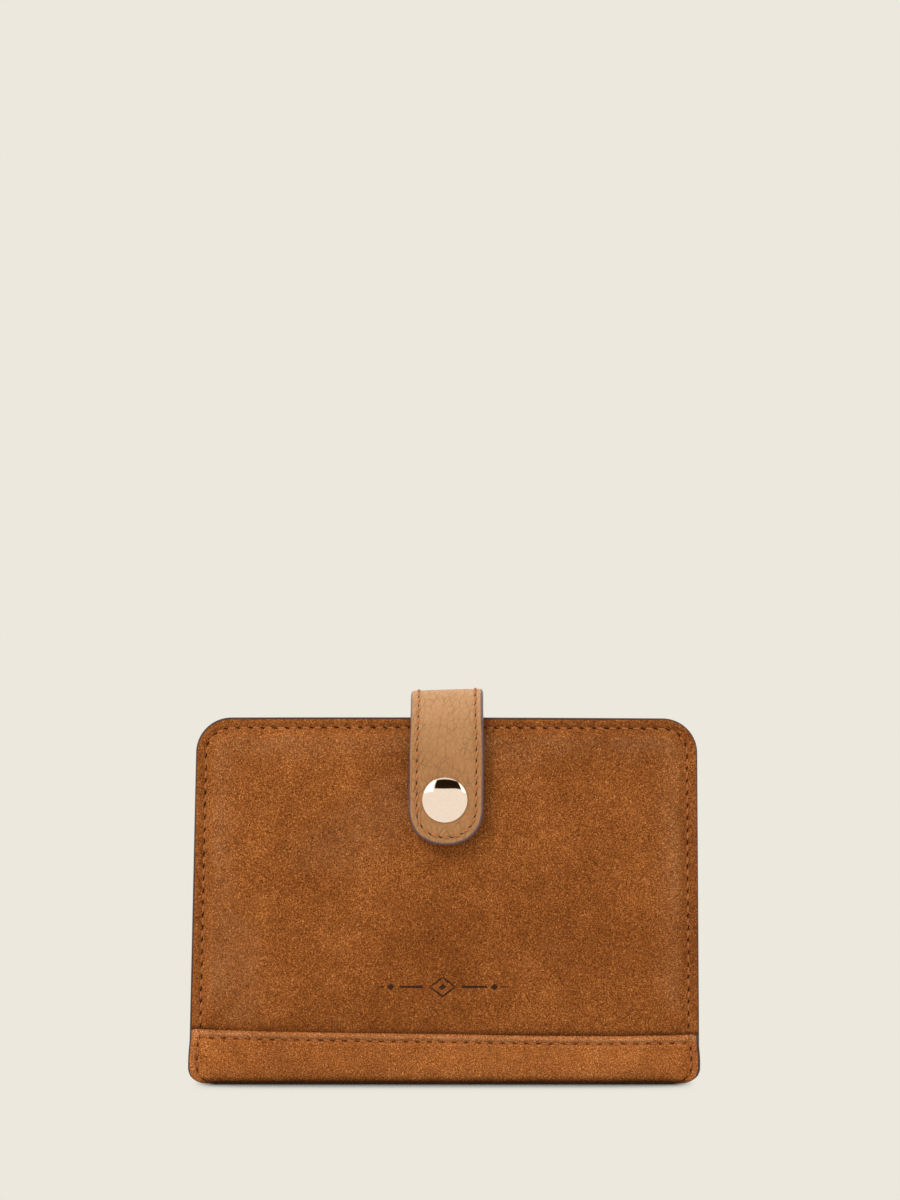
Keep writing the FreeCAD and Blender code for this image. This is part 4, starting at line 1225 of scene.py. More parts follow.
def teeth():
    d_mid = D_COIN - TAPE_T / 2
    # one tooth in x, w (from its tape towards the middle) and half thickness: a clamp foot, a neck and a rounded head
    prof = [(0.0, 0.50, 1.08), (0.5, 0.56, 1.12), (1.3, 0.50, 1.02), (1.9, 0.36, 0.88), (2.5, 0.52, 0.92), (2.95, 0.55, 0.86), (3.2, 0.36, 0.6)]
    for name, node, sgn, shift in (("zip_teeth_low", "zip_teeth_lower", 1, 0.0), ("zip_teeth_high", "zip_teeth_upper", -1, TOOTH_PITCH / 2)):
        verts, faces = [], []
        x = CHAIN_LEFT
        start = ZIP_W - 2.4 * sgn
        while x + TOOTH_PITCH <= CHAIN_RIGHT:
            cx = x + shift + 0.575
            base = len(verts)
            for a, hx, hd in prof:
                for q in range(12):
                    an = 2 * math.pi * (q + 0.5) / 12
                    c, s = math.cos(an), math.sin(an)
                    px = math.copysign(abs(c) ** 0.55, c) * hx
                    pd = math.copysign(abs(s) ** 0.55, s) * hd
                    verts.append(place("front", cx + px, d_mid + pd, start + sgn * a, False))
            for k in range(len(prof) - 1):
                for q in range(12):
                    q2 = (q + 1) % 12
                    faces.append((base + k * 12 + q, base + k * 12 + q2, base + (k + 1) * 12 + q2, base + (k + 1) * 12 + q))
            faces.append(tuple(base + q for q in range(12)))
            faces.append(tuple(base + (len(prof) - 1) * 12 + q for q in range(12)))
            x += TOOTH_PITCH
        ob = build(name, verts, faces, BRASS)
        fit(ob, "front_cover", "zip_brass", node)


teeth()

# the zip's slider, ring and stops, the snap's stud and socket keep their CAD shape
for n, m in (("zip_slider", BRASS), ("zip_ring", BRASS), ("zip_end_stops", BRASS), ("snap_stud", GOLD), ("snap_stud_rivet", GOLD), ("snap_socket", GOLD)):
    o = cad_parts[n]
    o.data.materials.clear()
    o.data.materials.append(m)
    for p in o.data.polygons:
        p.use_smooth = False


def pull_tag():
    rx, rd, rr = 51.7, D_COIN + 3.5, 3.5
    # a strap of leather folded round the ring and sewn to itself
    top = ZIP_W - rr
    rows = [(-30.9, 0.4), (-30.8, 1.5), (-30.4, 2.35), (-29.6, 2.95), (-28.4, 3.3), (-26, 3.4), (-20, 3.4), (-14, 3.4), (-9.0, 3.4), (-7.6, 3.3), (-6.5, 2.7),
            (-5.4, 2.05), (-4.6, 1.95)]
    verts, faces = [], []
    cols = 13
    def section(b, half_t):
        out = []
        for k in range(24):
            an = 2 * math.pi * k / 24
            c, s = math.cos(an), math.sin(an)
            out.append((math.copysign(abs(c) ** 0.35, c) * b, math.copysign(abs(s) ** 0.6, s) * half_t))
        return out
    for k, (dw, b) in enumerate(rows):
        ht = 0.98 if dw > -29 else 0.9
        for px, pd in section(b, ht):
            groove = 0.0
            verts.append(place("front", rx + px, rd + pd * (1 - groove), ZIP_W + dw, False))
    m = 24
    for i in range(len(rows) - 1):
        for s in range(m):
            s2 = (s + 1) % m
            faces.append((i * m + s, i * m + s2, (i + 1) * m + s2, (i + 1) * m + s))
    faces.append(tuple(range(m)))
    faces.append(tuple(range((len(rows) - 1) * m, len(rows) * m)))
    ob = build("zip_pull_leather", verts, faces, INNER)
    fit(ob, "zip_pull", "inner_leather", "zip_pull_tag")
    # the loop: a sleeve bent round the ring's wire
    verts, faces = [], []
    centre_w = ZIP_W - rr
    steps = 20
    for i, px in enumerate(np.linspace(-1.95, 1.95, 9)):
        # the ring's wire curves, so the loop follows it
        dw = rr - math.sqrt(max(rr * rr - px * px, 0))
        for layer, r in ((0, 1.12), (1, 0.68)):
            for k in range(steps):
                an = 2 * math.pi * k / steps
                stretch = 1.0 if math.cos(an) > 0 else 1.25
                verts.append(place("front", rx + px, rd + r * math.sin(an) * 0.98, centre_w + dw + r * math.cos(an) * stretch, False))
    n = 2 * steps
    for i in range(8):
        for k in range(steps):
            k2 = (k + 1) % steps
            a = i * n
            faces.append((a + k, a + k2, a + n + k2, a + n + k))
            faces.append((a + steps + k, a + n + steps + k, a + n + steps + k2, a + steps + k2))
    for i in (0, 8):
        for k in range(steps):
            k2 = (k + 1) % steps
            a = i * n
            faces.append((a + k, a + k2, a + steps + k2, a + steps + k))
    fit(build("zip_pull_loop", verts, faces, INNER), "zip_pull", "inner_leather")
    path = np.array([(rx - 2.3, ZIP_W - 8.6), (rx - 2.3, ZIP_W - 28.0), (rx - 1.4, ZIP_W - 29.6), (rx + 1.4, ZIP_W - 29.6), (rx + 2.3, ZIP_W - 28.0),
                     (rx + 2.3, ZIP_W - 8.6), (rx - 2.3, ZIP_W - 8.6)])
    hs, _ = resample(path, 2.4)
    pp = place("front", hs[:, 0], np.full(len(hs), rd + 0.93), hs[:, 1], False)
    nn = np.tile(-out_normal("front"), (len(hs), 1))
    th, sl = stitches("zip_pull_stitches", pp, nn, (THREAD_TAB, HOLE_SHADE), r=0.15, gap=0.6, lift=0.06, slit=(0.6, 0.26), slit_turn=10, slit_lift=0.03)
    fit(th, "zip_pull", "thread")
    fit(sl, "zip_pull", "thread")


pull_tag()

# ---------------------------------------------------------------------------
# card pockets inside the back cover
# ---------------------------------------------------------------------------
def card_relief(top, seed):
    def f(x, w, i):
        h = 0.07 * bump(top - w, 1.0, 0.6) - 0.07 * bump(top - w, 2.4, 0.25)
        h = h - 0.13 * bump(x, 0.0, 0.5) - 0.10 * bump(np.abs(x), 60.2, 0.45)
        return h + 0.05 * (1 - bump(x, 0, 6)) * smooth(i / 5) * (1 + noise_at(x, w, 20, seed))
    return f


d = D_BILL_IN
for k, (nm, top) in enumerate(zip(("rear", "middle", "front"), CARD_TOPS)):
    # the sheet lies on the one behind it; its slot is the gap at its top
    ob = plate(f"card_slot_{nm}", "back", [INNER, EDGE], d + CARD_SLOT + CARD_T, d + CARD_SLOT - 0.02, (CARD_HALF, CARD_HALF, 4.0, top, 1.5, 0.7),
               [0, 0.06, 0.15, 0.3, 0.5, 0.8, 1.1, 1.5, 2.0, 2.4, 2.8, 3.4, 4.5, 5.3, 6, 8, 12, 18, 25, 31, 36], card_relief(top, 30 + k), edge_tag=1, step=1.0,
               round_r=0.2, warped=False, edge_until=0.1)
    fit(ob, "back_cover", "inner_leather", f"card_pocket_{nm}")
    # the seam that holds its slot open along its sides and its middle
    for s, tag in ((-1, "left"), (0, "mid"), (1, "right")):
        xc, hw_ = (s * 62.5, 2.9) if s else (0.0, 1.1)
        vv = []
        secs = [(-hw_, d + 0.01), (hw_, d + 0.01), (hw_, d + CARD_SLOT), (-hw_, d + CARD_SLOT)]
        ws = np.linspace(4.1, top - 0.3, 30)
        for w in ws:
            for a, dd in secs:
                vv.append(place("back", xc + a, dd, w, False))
        ff = []
        for i in range(len(ws) - 1):
            for j in range(4):
                j2 = (j + 1) % 4
                ff.append((i * 4 + j, i * 4 + j2, (i + 1) * 4 + j2, (i + 1) * 4 + j))
        ff.append((0, 1, 2, 3))
        ff.append(tuple(range((len(ws) - 1) * 4, len(ws) * 4)))
        fit(build(f"card_rib_{nm}_{tag}", vv, ff, EDGE, flat=True), "back_cover", "inner_leather")
    d += CARD_SLOT + CARD_T
D_CARDS = d
first = True
for k, (lo, hi) in enumerate(((CARD_TOPS[1] + 0.5, CARD_TOPS[0] - 0.4), (CARD_TOPS[2] + 0.5, CARD_TOPS[1] - 0.4), (5.4, CARD_TOPS[2] - 0.4))):
    dd = D_BILL_IN + (k + 1) * (CARD_SLOT + CARD_T) - 0.12
    for xa in (-60.2, 0.0, 60.2):
        flat_stitches(f"card_stitches_{k}_{int(xa) + 61}", np.array([(xa, lo), (xa, hi)]), dd, "back_cover", "back", ("card_pocket_thread",) if first else ())
        first = False
flat_stitches("card_stitches_foot", np.array([(-63.6, 5.3), (63.6, 5.3)]), D_CARDS - 0.05, "back_cover", "back")

# ---------------------------------------------------------------------------
# the tab: one leather strap from the back cover over to the front
# ---------------------------------------------------------------------------
T_IN = -PAD_T - SNAP_GAP


def fyz(dd, w):
    return (-A + (dd - D_AX) * COS + w * SIN, CREASE_IN + w * COS - (dd - D_AX) * SIN)


def tab_line():
    """The strap's middle line, y and z, sampled evenly, from its lower end at the back to its tip in front."""
    off = TAB_T / 2
    def at_height(line, z):
        (ya, za), (yb, zb) = line(60.0), line(100.0)
        return ya + (yb - ya) * (z - za) / (zb - za)
    rear = lambda w: (-fyz(-PAD_T - off, w)[0], fyz(-PAD_T - off, w)[1])
    front = lambda w: fyz(T_IN - off, w)
    top = TAB_TOP_IN + off
    r = TAB_R + off
    corners = [(at_height(rear, TAB_LEG), TAB_LEG), (at_height(rear, top), top), (at_height(front, top), top), (at_height(front, TAB_TIP), TAB_TIP)]
    pts = [np.array(corners[0])]
    spans = []
    for i in (1, 2):
        p, a, b = (np.array(corners[k]) for k in (i, i - 1, i + 1))
        u, v = (a - p) / np.linalg.norm(a - p), (b - p) / np.linalg.norm(b - p)
        half = math.acos(float(u @ v)) / 2
        t = r / math.tan(half)
        m = (u + v) / np.linalg.norm(u + v)
        c = p + m * r / math.sin(half)
        s0_, s1_ = p + u * t, p + v * t
        spans.append((s0_, s1_, c))
        a0 = math.atan2(*(s0_ - c)[::-1])
        a1 = math.atan2(*(s1_ - c)[::-1])
        while a1 < a0:
            a1 += 2 * math.pi
        if a1 - a0 > math.pi:
            a0 += 2 * math.pi
        for k in range(25):
            an = a0 + (a1 - a0) * k / 24
            pts.append(c + r * np.array([math.cos(an), math.sin(an)]))
    pts.append(np.array(corners[3]))
    pts = np.array(pts)
    cum = np.concatenate([[0], np.cumsum(np.linalg.norm(np.diff(pts, axis=0), axis=1))])
    n = int(cum[-1] / 0.35)
    s = np.linspace(0, cum[-1], n)
    line = np.stack([np.interp(s, cum, pts[:, k]) for k in (0, 1)], -1)
    t = np.gradient(line, axis=0)
    t /= np.linalg.norm(t, axis=1)[:, None]
    nn = np.stack([t[:, 1], -t[:, 0]], -1)
    if nn[0, 0] < 0:
        nn = -nn
    return s, line, nn, spans


TS, TL, TN, SPANS = tab_line()
S_END = TS[-1]
S_MID = float(np.interp(0.5, [0, 1], [np.interp(-(SPANS[0][1][0]), -TL[:, 0], TS), np.interp(-(SPANS[1][0][0]), -TL[:, 0], TS)]))


def tab_at(x, s, off):
    """A point of the strap in space: across, along, and out from its middle line."""
    x, s, off = np.broadcast_arrays(np.asarray(x, float), np.asarray(s, float), np.asarray(off, float))
    y = np.interp(s, TS, TL[:, 0]) + np.interp(s, TS, TN[:, 0]) * off
    z = np.interp(s, TS, TL[:, 1]) + np.interp(s, TS, TN[:, 1]) * off
    z = z + 0.032 * x * smooth((z - 84.0) / 22.0)
    return warp(np.stack([x, y, z], -1))


def tab_normal(s):
    s = np.asarray(s, float)
    return np.stack([np.zeros_like(s), np.interp(s, TS, TN[:, 0]), np.interp(s, TS, TN[:, 1])], -1)


def tab_half(s):
    """Half width along the strap."""
    z = np.interp(s, TS, TL[:, 1])
    return TAB_HALF + (TAB_HALF_TOP - TAB_HALF) * smooth((z - 92.0) / 12.0)


TAB_INS = [0.0, 0.07, 0.18, 0.34, 0.55, 0.85, 1.2, 1.55, 1.8, 2.0, 2.2, 2.5, 2.9, 3.5, 4.3, 5.3, 6.5, 7.8, 9.0]


def tab_ring(inset, piece, n_side=150, n_end=44):
    """U-shaped ring from the cut, down one side, round the end and back, as x and s."""
    pts = []
    if piece == "front":
        r = TAB_HALF
        s_turn = S_END - r
        for k in range(n_side):
            s = S_MID + (s_turn - S_MID) * k / n_side
            pts.append((-(float(tab_half(s)) - inset), s))
        for k in range(n_end + 1):
            a = math.pi * k / n_end
            rr = max(r - inset, 0.0)
            # the tip is a little fuller than a half circle
            full = 1 + 0.035 * math.sin(2 * a) ** 2
            pts.append((-math.cos(a) * rr * full, s_turn + math.sin(a) * rr * full))
        for k in range(n_side - 1, -1, -1):
            s = S_MID + (s_turn - S_MID) * k / n_side
            pts.append((float(tab_half(s)) - inset, s))
    else:
        r = max(3.0 - inset, 0.02)
        b = TAB_HALF - inset
        end = inset
        s_turn = end + r
        lim = max(s_turn, 0)
        for k in range(n_side):
            s = S_MID + (lim - S_MID) * k / n_side
            pts.append((-(float(tab_half(s)) - inset), s))
        q = n_end // 4
        for k in range(q):
            a = math.pi / 2 * k / q
            pts.append((-(b - r) - math.cos(a) * r, s_turn - math.sin(a) * r))
        m = n_end - 2 * q
        for k in range(m):
            pts.append((-(b - r) + 2 * (b - r) * k / m, end))
        for k in range(q + 1):
            a = math.pi / 2 * (1 - k / q)
            pts.append(((b - r) + math.cos(a) * r, s_turn - math.sin(a) * r))
        for k in range(n_side - 1, -1, -1):
            s = S_MID + (lim - S_MID) * k / n_side
            pts.append((float(tab_half(s)) - inset, s))
    return np.array(pts)


def tab_piece(piece):
    out_rings, in_rings, uv_o = [], [], []
    cap_s = S_END - (TAB_HALF * 0 + 12.1)
    for i in TAB_INS + [10.2]:
        ring = tab_ring(min(i, 10.19), piece)
        if i == 10.2:
            ring = ring.copy()
            if piece == "front":
                ring[:, 0] = 0
                ring[:, 1] = np.minimum(ring[:, 1], S_END - TAB_HALF)
            else:
                ring[:, 0] = 0
                ring[:, 1] = np.maximum(ring[:, 1], 10.2)
        soft = 0.55
        h = TAB_T / 2 - (soft - math.sqrt(max(soft ** 2 - max(soft - i, 0) ** 2, 0)))
        h = h + 0.06 * math.exp(-(((i - 1.1) / 0.5) ** 2)) - 0.17 * math.exp(-(((i - 2.0) / 0.3) ** 2)) + 0.10 * float(smooth(np.array((i - 2.3) / 3.0)))
        hh = np.full(len(ring), h)
        hh = hh + 0.05 * noise_at(ring[:, 0], ring[:, 1], 6.0, 40) * float(smooth(np.array((i - 0.5) / 2)))
        if piece == "front":
            rad = np.hypot(ring[:, 0], ring[:, 1] - CAP_S)
            hh = hh - 0.16 * np.exp(-((rad - 6.3) / 1.3) ** 2) * (i > 0.5)
        out_rings.append((ring, hh))
        hi = -(TAB_T / 2) + (0.3 - math.sqrt(max(0.09 - max(0.3 - i, 0) ** 2, 0)))
        in_rings.append((ring, np.full(len(ring), hi)))
    n = len(out_rings[0][0])
    verts, uv = [], []
    for ring, hh in out_rings:
        verts.append(tab_at(ring[:, 0], ring[:, 1], hh))
        uv.append(ring)
    # the painted wall between the faces
    ring0 = out_rings[0][0]
    c = ring0.copy()
    t = np.gradient(c, axis=0)
    t /= np.linalg.norm(t, axis=1)[:, None]
    nn = np.stack([-t[:, 1], t[:, 0]], -1)
    sgn = 1.0 if (nn[5] @ np.array([-1, 0])) > 0 else -1.0
    walls = []
    for o, bulge in ((0.35, 0.16), (0.0, 0.20), (-0.35, 0.14)):
        w = c + nn * sgn * bulge
        w[0, 1] = c[0, 1]
        w[-1, 1] = c[-1, 1]
        walls.append(tab_at(w[:, 0], w[:, 1], np.full(n, o)))
    verts += walls
    uv += [ring0 + np.array([40.0, 0])] * 3
    for ring, hh in in_rings:
        verts.append(tab_at(ring[:, 0], ring[:, 1], hh))
        uv.append(ring + np.array([80.0, 0]))
    K = len(TAB_INS) + 1
    V = np.concatenate(verts)
    UV = np.concatenate(uv)
    # band order: outer faces from the middle to the edge, wall, inner faces from the edge to the middle
    order = [k * n for k in range(K - 1, -1, -1)] + [(K + j) * n for j in range(3)] + [(K + 3 + k) * n for k in range(K)]
    faces, index = [], []
    for b in range(len(order) - 1):
        a0, b0 = order[b], order[b + 1]
        if b < K - 1:
            i_here = (TAB_INS + [10.2])[K - 2 - b]
            tag = 1 if i_here < 0.07 else 0
        elif b < K + 3:
            tag = 1
        else:
            i_here = TAB_INS[min(b - K - 3, len(TAB_INS) - 1)]
            tag = 1 if i_here < 0.15 else 2
        for k in range(n - 1):
            faces.append((a0 + k, a0 + k + 1, b0 + k + 1, b0 + k))
            # the paint creeps further on to the face at the right and round the tip
            wet = b < K - 1 and i_here < (0.5 if k > 0.47 * n else 0.33 if k > 0.40 * n else 0.16)
            index.append(1 if wet else tag)
    # close the cut
    for side_k in (0, n - 1):
        for k in range(K - 1):
            a, b = k * n + side_k, (k + 1) * n + side_k
            c2, d2 = (K + 3 + k + 1) * n + side_k, (K + 3 + k) * n + side_k
            if k == 0:
                wall = [(K + j) * n + side_k for j in (2, 1, 0)]
                faces.append((a, b, c2, d2, *wall))
            else:
                faces.append((a, b, c2, d2))
            index.append(2)
    ob = build(f"tab_strap_{piece}", V, faces, [PEBBLE, EDGE_UV, BACKING], index, uv=UV, merge=True)
    return ob


PEBBLE = pebbled(S_MID)
CAP_S = float(np.interp(-fyz(T_IN - TAB_T / 2, SNAP_W)[1], -TL[len(TL) // 2:, 1], TS[len(TS) // 2:]))
def widened(span, before, after):
    a, b = np.array(span[0]), np.array(span[1])
    u = (b - a) / np.linalg.norm(b - a)
    a, b = a - u * before, b + u * after
    return ((0, a[0] * MM, a[1] * MM), (0, b[0] * MM, b[1] * MM))


ROOT_BLEND = widened(SPANS[0], 8.0, 2.0)
END_BLEND = widened(SPANS[1], 2.0, 8.0)

rear = tab_piece("rear")
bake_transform(rear)
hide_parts("tab_root_face", "tab_root_backing", "tab_root_thread")
front = tab_piece("front")
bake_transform(front)
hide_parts("tab_bridge_face", "tab_bridge_backing", "tab_bridge_thread", "tab_end_face", "tab_end_backing", "tab_end_thread")


def tab_stitches():
    for piece, bodies, where in (("rear", ("back_cover", "tab_bridge"), ROOT_BLEND), ("front", ("tab_bridge", "tab_end"), END_BLEND)):
        ring = tab_ring(2.0, piece, 200, 60)
        hs, _ = resample(ring, 3.06, 0.7, 0.7)
        # a waxed thread that sits proud of the groove
        pp = tab_at(hs[:, 0], hs[:, 1], np.full(len(hs), TAB_T / 2 - 0.06))
        nn = tab_normal(hs[:, 1])
        th, sl = stitches(f"tab_stitches_{piece}", pp, nn, (THREAD_TAB, HOLE_SHADE_TAB), r=0.27, gap=0.85, slant=0.32, lift=0.12, dip=0.25,
                          slit=(1.25, 0.36), slit_turn=-22.0 if piece == "front" else 22.0, ply=0.34, slit_lift=0.02)
        for o in (th, sl):
            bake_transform(o)
    # the crossed box that sews the strap's rear end to the back cover
    b, lo, hi = 8.2, 2.0, 22.0
    for tag, path in (("a", [(-b + 0.5, hi), (b - 0.5, hi)]), ("b", [(-b + 1.2, lo + 1.2), (b - 1.2, hi - 1.0)]), ("c", [(b - 1.2, lo + 1.2), (-b + 1.2, hi - 1.0)])):
        hs, _ = resample(np.array(path), 3.06, 0.3, 0.3)
        pp = tab_at(hs[:, 0], hs[:, 1], np.full(len(hs), TAB_T / 2 + 0.06))
        th, sl = stitches(f"tab_box_{tag}", pp, tab_normal(hs[:, 1]), (THREAD_TAB, HOLE_SHADE_TAB), r=0.26, gap=0.8, slant=0.05, lift=0.12, slit=(1.0, 0.36), ply=0.16)
        for o in (th, sl):
            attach(o, "back_cover")


tab_stitches()


# ---------------------------------------------------------------------------
# snap cap: a spun, polished disc
# ---------------------------------------------------------------------------
def lathe(name, profile, centre_w, base_d, mat, body, slot, nodes=(), seg=96):
    """profile is (radius, height outwards) from the middle of the face round to the back."""
    origin = place("front", -0.4, base_d, centre_w + 0.25)
    n = out_normal("front")
    u = np.array([1.0, 0, 0])
    v = np.cross(n, u)
    verts, faces = [origin + n * profile[0][1]], []
    for r, h in profile[1:-1]:
        for k in range(seg):
            a = 2 * math.pi * k / seg
            verts.append(origin + n * h + u * r * math.cos(a) + v * r * math.sin(a))
    verts.append(origin + n * profile[-1][1])
    m = len(profile) - 2
    for k in range(seg):
        k2 = (k + 1) % seg
        faces.append((0, 1 + k, 1 + k2))
        for j in range(m - 1):
            a = 1 + j * seg
            faces.append((a + k, a + seg + k, a + seg + k2, a + k2))
        a = 1 + (m - 1) * seg
        faces.append((a + k, len(verts) - 1, a + k2))
    ob = build(name, verts, faces, mat)
    fit(ob, body, slot, *nodes)
    return ob


cap_profile = [(0.0, CAP_H)]
R_DOME = CAP_R - 0.12
for k in range(1, 40):
    t = k / 40
    r = R_DOME * math.sin(t * math.pi / 2) ** 1.0
    x = r / R_DOME
    # a shallow crown that falls off quickly near its rim
    h = CAP_H - 0.98 * x ** 2 - 0.14 * x ** 12
    cap_profile.append((r, h))
cap_profile += [(CAP_R - 0.05, 0.38), (CAP_R, 0.26), (CAP_R - 0.02, 0.12), (CAP_R - 0.15, 0.0), (CAP_R - 0.6, -0.08), (1.5, -0.08), (1.5, -2.25), (0.0, -2.25)]
lathe("snap_cap_disc", cap_profile, SNAP_W, T_IN - TAB_T + 0.02, GOLD, "tab_end", "pale_brass", ("snap_cap",))

# ---------------------------------------------------------------------------
# floor, light and camera
# ---------------------------------------------------------------------------
scene = bpy.context.scene
scene.view_settings.view_transform = "Standard"
scene.view_settings.look = "None"
PALE = lin(236, 232, 221)

# the floor glows evenly in the backdrop colour; its contact shadow is painted: two ambient-occlusion terms darken the
# emission, only where |x| is under 63 mm, fading out by 70 mm
bpy.ops.mesh.primitive_circle_add(vertices=96, radius=6.0, fill_type="NGON", location=(0, 0, -0.00005))
floor = bpy.context.object
floor.name = "floor"
fm = bpy.data.materials.new("pale_floor")
fm.use_nodes = True
nt = fm.node_tree
nt.nodes.clear()
o = nt.nodes.new("ShaderNodeOutputMaterial")
e = nt.nodes.new("ShaderNodeEmission")
ao = nt.nodes.new("ShaderNodeAmbientOcclusion")
ao.inputs["Distance"].default_value = 0.030
ao.samples = 8
ao2 = nt.nodes.new("ShaderNodeAmbientOcclusion")
ao2.inputs["Distance"].default_value = 0.05
ao2.samples = 6
r1 = nt.nodes.new("ShaderNodeValToRGB")
r1.color_ramp.elements[0].position = 0.52
r1.color_ramp.elements[0].color = (0.012, 0.016, 0.022, 1)
r1.color_ramp.elements[1].position = 0.90
r1.color_ramp.elements[1].color = (1, 1, 1, 1)
r2 = nt.nodes.new("ShaderNodeValToRGB")
r2.color_ramp.elements[0].position = 0.4
r2.color_ramp.elements[0].color = (0.90, 0.90, 0.91, 1)
r2.color_ramp.elements[1].position = 0.9
r2.color_ramp.elements[1].color = (1, 1, 1, 1)
m1 = nt.nodes.new("ShaderNodeMix")
m1.data_type = "RGBA"
m1.blend_type = "MULTIPLY"
m1.inputs[0].default_value = 1
m2 = nt.nodes.new("ShaderNodeMix")
m2.data_type = "RGBA"
m2.blend_type = "MULTIPLY"
m2.inputs[0].default_value = 1
m2.inputs[6].default_value = PALE
nt.links.new(ao.outputs["AO"], r1.inputs[0])
nt.links.new(ao2.outputs["AO"], r2.inputs[0])
nt.links.new(r1.outputs[0], m1.inputs[6])
nt.links.new(r2.outputs[0], m1.inputs[7])
fc = nt.nodes.new("ShaderNodeTexCoord")
fs = nt.nodes.new("ShaderNodeSeparateXYZ")
fa = nt.nodes.new("ShaderNodeMath")
fa.operation = "ABSOLUTE"
fr = nt.nodes.new("ShaderNodeMapRange")
fr.interpolation_type = "SMOOTHSTEP"
for k, x in zip((1, 2, 3, 4), (0.0630, 0.0700, 1.0, 0.0)):
    fr.inputs[k].default_value = x
nt.links.new(fc.outputs["Object"], fs.inputs[0])
nt.links.new(fs.outputs[0], fa.inputs[0])
nt.links.new(fa.outputs[0], fr.inputs[0])
m3 = nt.nodes.new("ShaderNodeMix")
m3.data_type = "RGBA"
m3.inputs[6].default_value = (1, 1, 1, 1)
nt.links.new(fr.outputs[0], m3.inputs[0])
nt.links.new(m1.outputs[2], m3.inputs[7])
nt.links.new(m3.outputs[2], m2.inputs[7])
nt.links.new(m2.outputs[2], e.inputs["Color"])
nt.links.new(e.outputs[0], o.inputs[0])
floor.data.materials.append(fm)
floor.visible_glossy = False
floor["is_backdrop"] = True

# surroundings: a pale studio, darker overhead in front, where the ceiling is unlit
world = bpy.data.worlds.new("studio")
scene.world = world
world.use_nodes = True
wt = world.node_tree
wt.nodes.clear()
wo = wt.nodes.new("ShaderNodeOutputWorld")
mix = wt.nodes.new("ShaderNodeMixShader")
lp = wt.nodes.new("ShaderNodeLightPath")
seen = wt.nodes.new("ShaderNodeBackground")
seen.inputs[0].default_value = PALE
env = wt.nodes.new("ShaderNodeBackground")
tc = wt.nodes.new("ShaderNodeTexCoord")
sep = wt.nodes.new("ShaderNodeSeparateXYZ")
wt.links.new(tc.outputs["Generated"], sep.inputs[0])


def wmath(op, a, b=0.0, clamp=False):
    n = wt.nodes.new("ShaderNodeMath")
    n.operation = op
    n.use_clamp = clamp
    for i, v in enumerate((a, b)):
        if isinstance(v, (int, float)):
            n.inputs[i].default_value = v
        else:
            wt.links.new(v, n.inputs[i])
    return n.outputs[0]


def wstep(v, a, b):
    n = wt.nodes.new("ShaderNodeMapRange")
    n.interpolation_type = "SMOOTHSTEP"
    for k, x in zip((1, 2, 3, 4), (a, b, 0.0, 1.0)):
        n.inputs[k].default_value = x
    wt.links.new(v, n.inputs[0])
    return n.outputs[0]


X, Y, Z = sep.outputs
# the dark patch: between two heights, in front, and narrower than the pale walls at its sides
rel = wmath("DIVIDE", X, wmath("MAXIMUM", wmath("MULTIPLY", Y, -1.0), 0.02))
dark = wmath("MULTIPLY", wstep(Z, 0.355, 0.375), wmath("SUBTRACT", 1.0, wstep(Z, 0.74, 0.78)))
dark = wmath("MULTIPLY", dark, wstep(wmath("MULTIPLY", Y, -1.0), 0.05, 0.12))
dark = wmath("MULTIPLY", dark, wstep(X, -0.30, -0.27))
dark = wmath("MULTIPLY", dark, wmath("SUBTRACT", 1.0, wstep(X, 0.50, 0.53)))
lampl = wmath("MULTIPLY", wstep(X, -0.78, -0.74), wmath("SUBTRACT", 1.0, wstep(X, -0.34, -0.31)))
lampl = wmath("MULTIPLY", lampl, wmath("MULTIPLY", wstep(Z, 0.26, 0.30), wstep(wmath("MULTIPLY", Y, -1.0), 0.0, 0.1)))
lampr = wmath("MULTIPLY", wstep(X, 0.52, 0.55), wmath("SUBTRACT", 1.0, wstep(X, 0.84, 0.88)))
lampr = wmath("MULTIPLY", lampr, wmath("MULTIPLY", wstep(Z, 0.28, 0.32), wstep(wmath("MULTIPLY", Y, -1.0), 0.0, 0.1)))
base = wt.nodes.new("ShaderNodeMix")
base.data_type = "RGBA"
base.inputs[6].default_value = (0.92, 0.855, 0.79, 1)
base.inputs[7].default_value = (0.018, 0.010, 0.004, 1)
wt.links.new(dark, base.inputs[0])
lamps = wt.nodes.new("ShaderNodeMix")
lamps.data_type = "RGBA"
lamps.inputs[7].default_value = (1.5, 1.5, 1.5, 1)
wt.links.new(base.outputs[2], lamps.inputs[6])
wt.links.new(wmath("ADD", lampl, lampr, True), lamps.inputs[0])
wt.links.new(lamps.outputs[2], env.inputs[0])
env.inputs[1].default_value = 1.0
soft = wt.nodes.new("ShaderNodeBackground")
grad = wt.nodes.new("ShaderNodeValToRGB")
grad.color_ramp.elements[0].position = 0.25
grad.color_ramp.elements[0].color = (0.33, 0.32, 0.30, 1)
grad.color_ramp.elements[1].position = 0.95
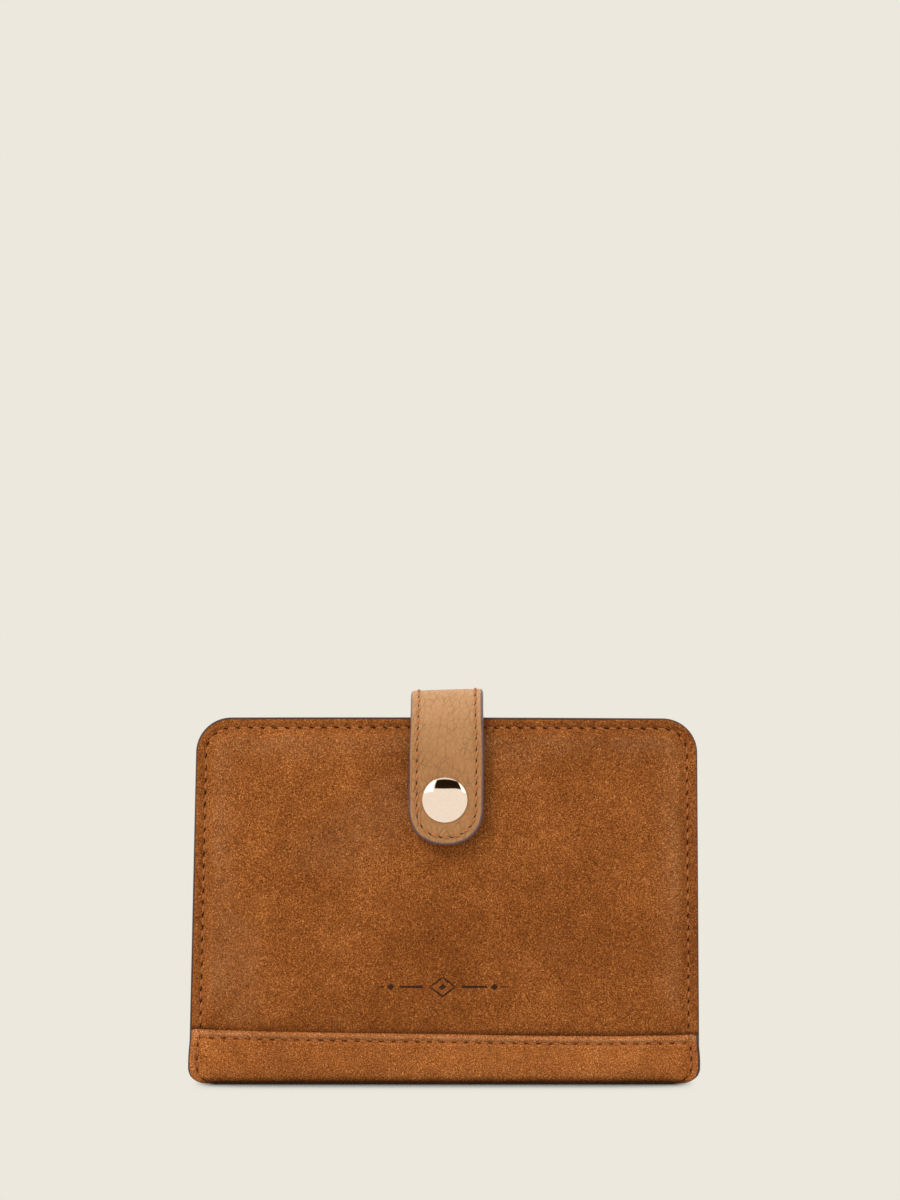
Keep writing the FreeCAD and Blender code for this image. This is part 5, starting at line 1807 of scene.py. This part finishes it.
grad.color_ramp.elements[1].color = (1.45, 1.42, 1.38, 1)
wt.links.new(wmath("ADD", wmath("MULTIPLY", Z, 0.5), 0.5), grad.inputs[0])
wt.links.new(grad.outputs[0], soft.inputs[0])
soft.inputs[1].default_value = 0.85
pick = wt.nodes.new("ShaderNodeMixShader")
wt.links.new(lp.outputs["Is Diffuse Ray"], pick.inputs[0])
wt.links.new(env.outputs[0], pick.inputs[1])
wt.links.new(soft.outputs[0], pick.inputs[2])
wt.links.new(lp.outputs["Is Camera Ray"], mix.inputs[0])
wt.links.new(pick.outputs[0], mix.inputs[1])
wt.links.new(seen.outputs[0], mix.inputs[2])
wt.links.new(mix.outputs[0], wo.inputs[0])


def area(name, loc, target, size, power, glossy=False, color=(1, 1, 1)):
    l = bpy.data.lights.new(name, "AREA")
    l.shape = "RECTANGLE"
    l.size, l.size_y = size
    l.energy = power
    l.color = color
    ob = bpy.data.objects.new(name, l)
    scene.collection.objects.link(ob)
    ob.location = loc
    ob.rotation_euler = (Vector(target) - Vector(loc)).to_track_quat("-Z", "Y").to_euler()
    ob.visible_glossy = glossy
    ob.visible_camera = False
    return ob


area("key", (-0.67, -1.06, 1.10), (0, 0, 0.06), (0.42, 0.42), 8.6, color=(1.0, 0.985, 0.955))
area("fill", (-0.55, -0.8, 0.10), (0, 0, 0.04), (0.5, 0.5), 1.25, color=(1.0, 0.985, 0.965))
area("rear", (0.2, 0.8, 0.55), (0, 0, 0.05), (0.6, 0.5), 3.0)

cam_data = bpy.data.cameras.new("camera")
cam_data.sensor_width = 36.0
cam_data.clip_start, cam_data.clip_end = 0.01, 50
cam = bpy.data.objects.new("camera", cam_data)
scene.collection.objects.link(cam)
cam_d, cam_z, aim_z = 1.5, 0.100, 0.1337
cam_data.lens = 36.0 * cam_d / 0.332
cam.location = (0.00166, -0.0145 - cam_d, cam_z)
cam.rotation_euler = (math.radians(90) + math.atan2(aim_z - cam_z, cam_d), 0, 0)
scene.camera = cam

lo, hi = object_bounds()
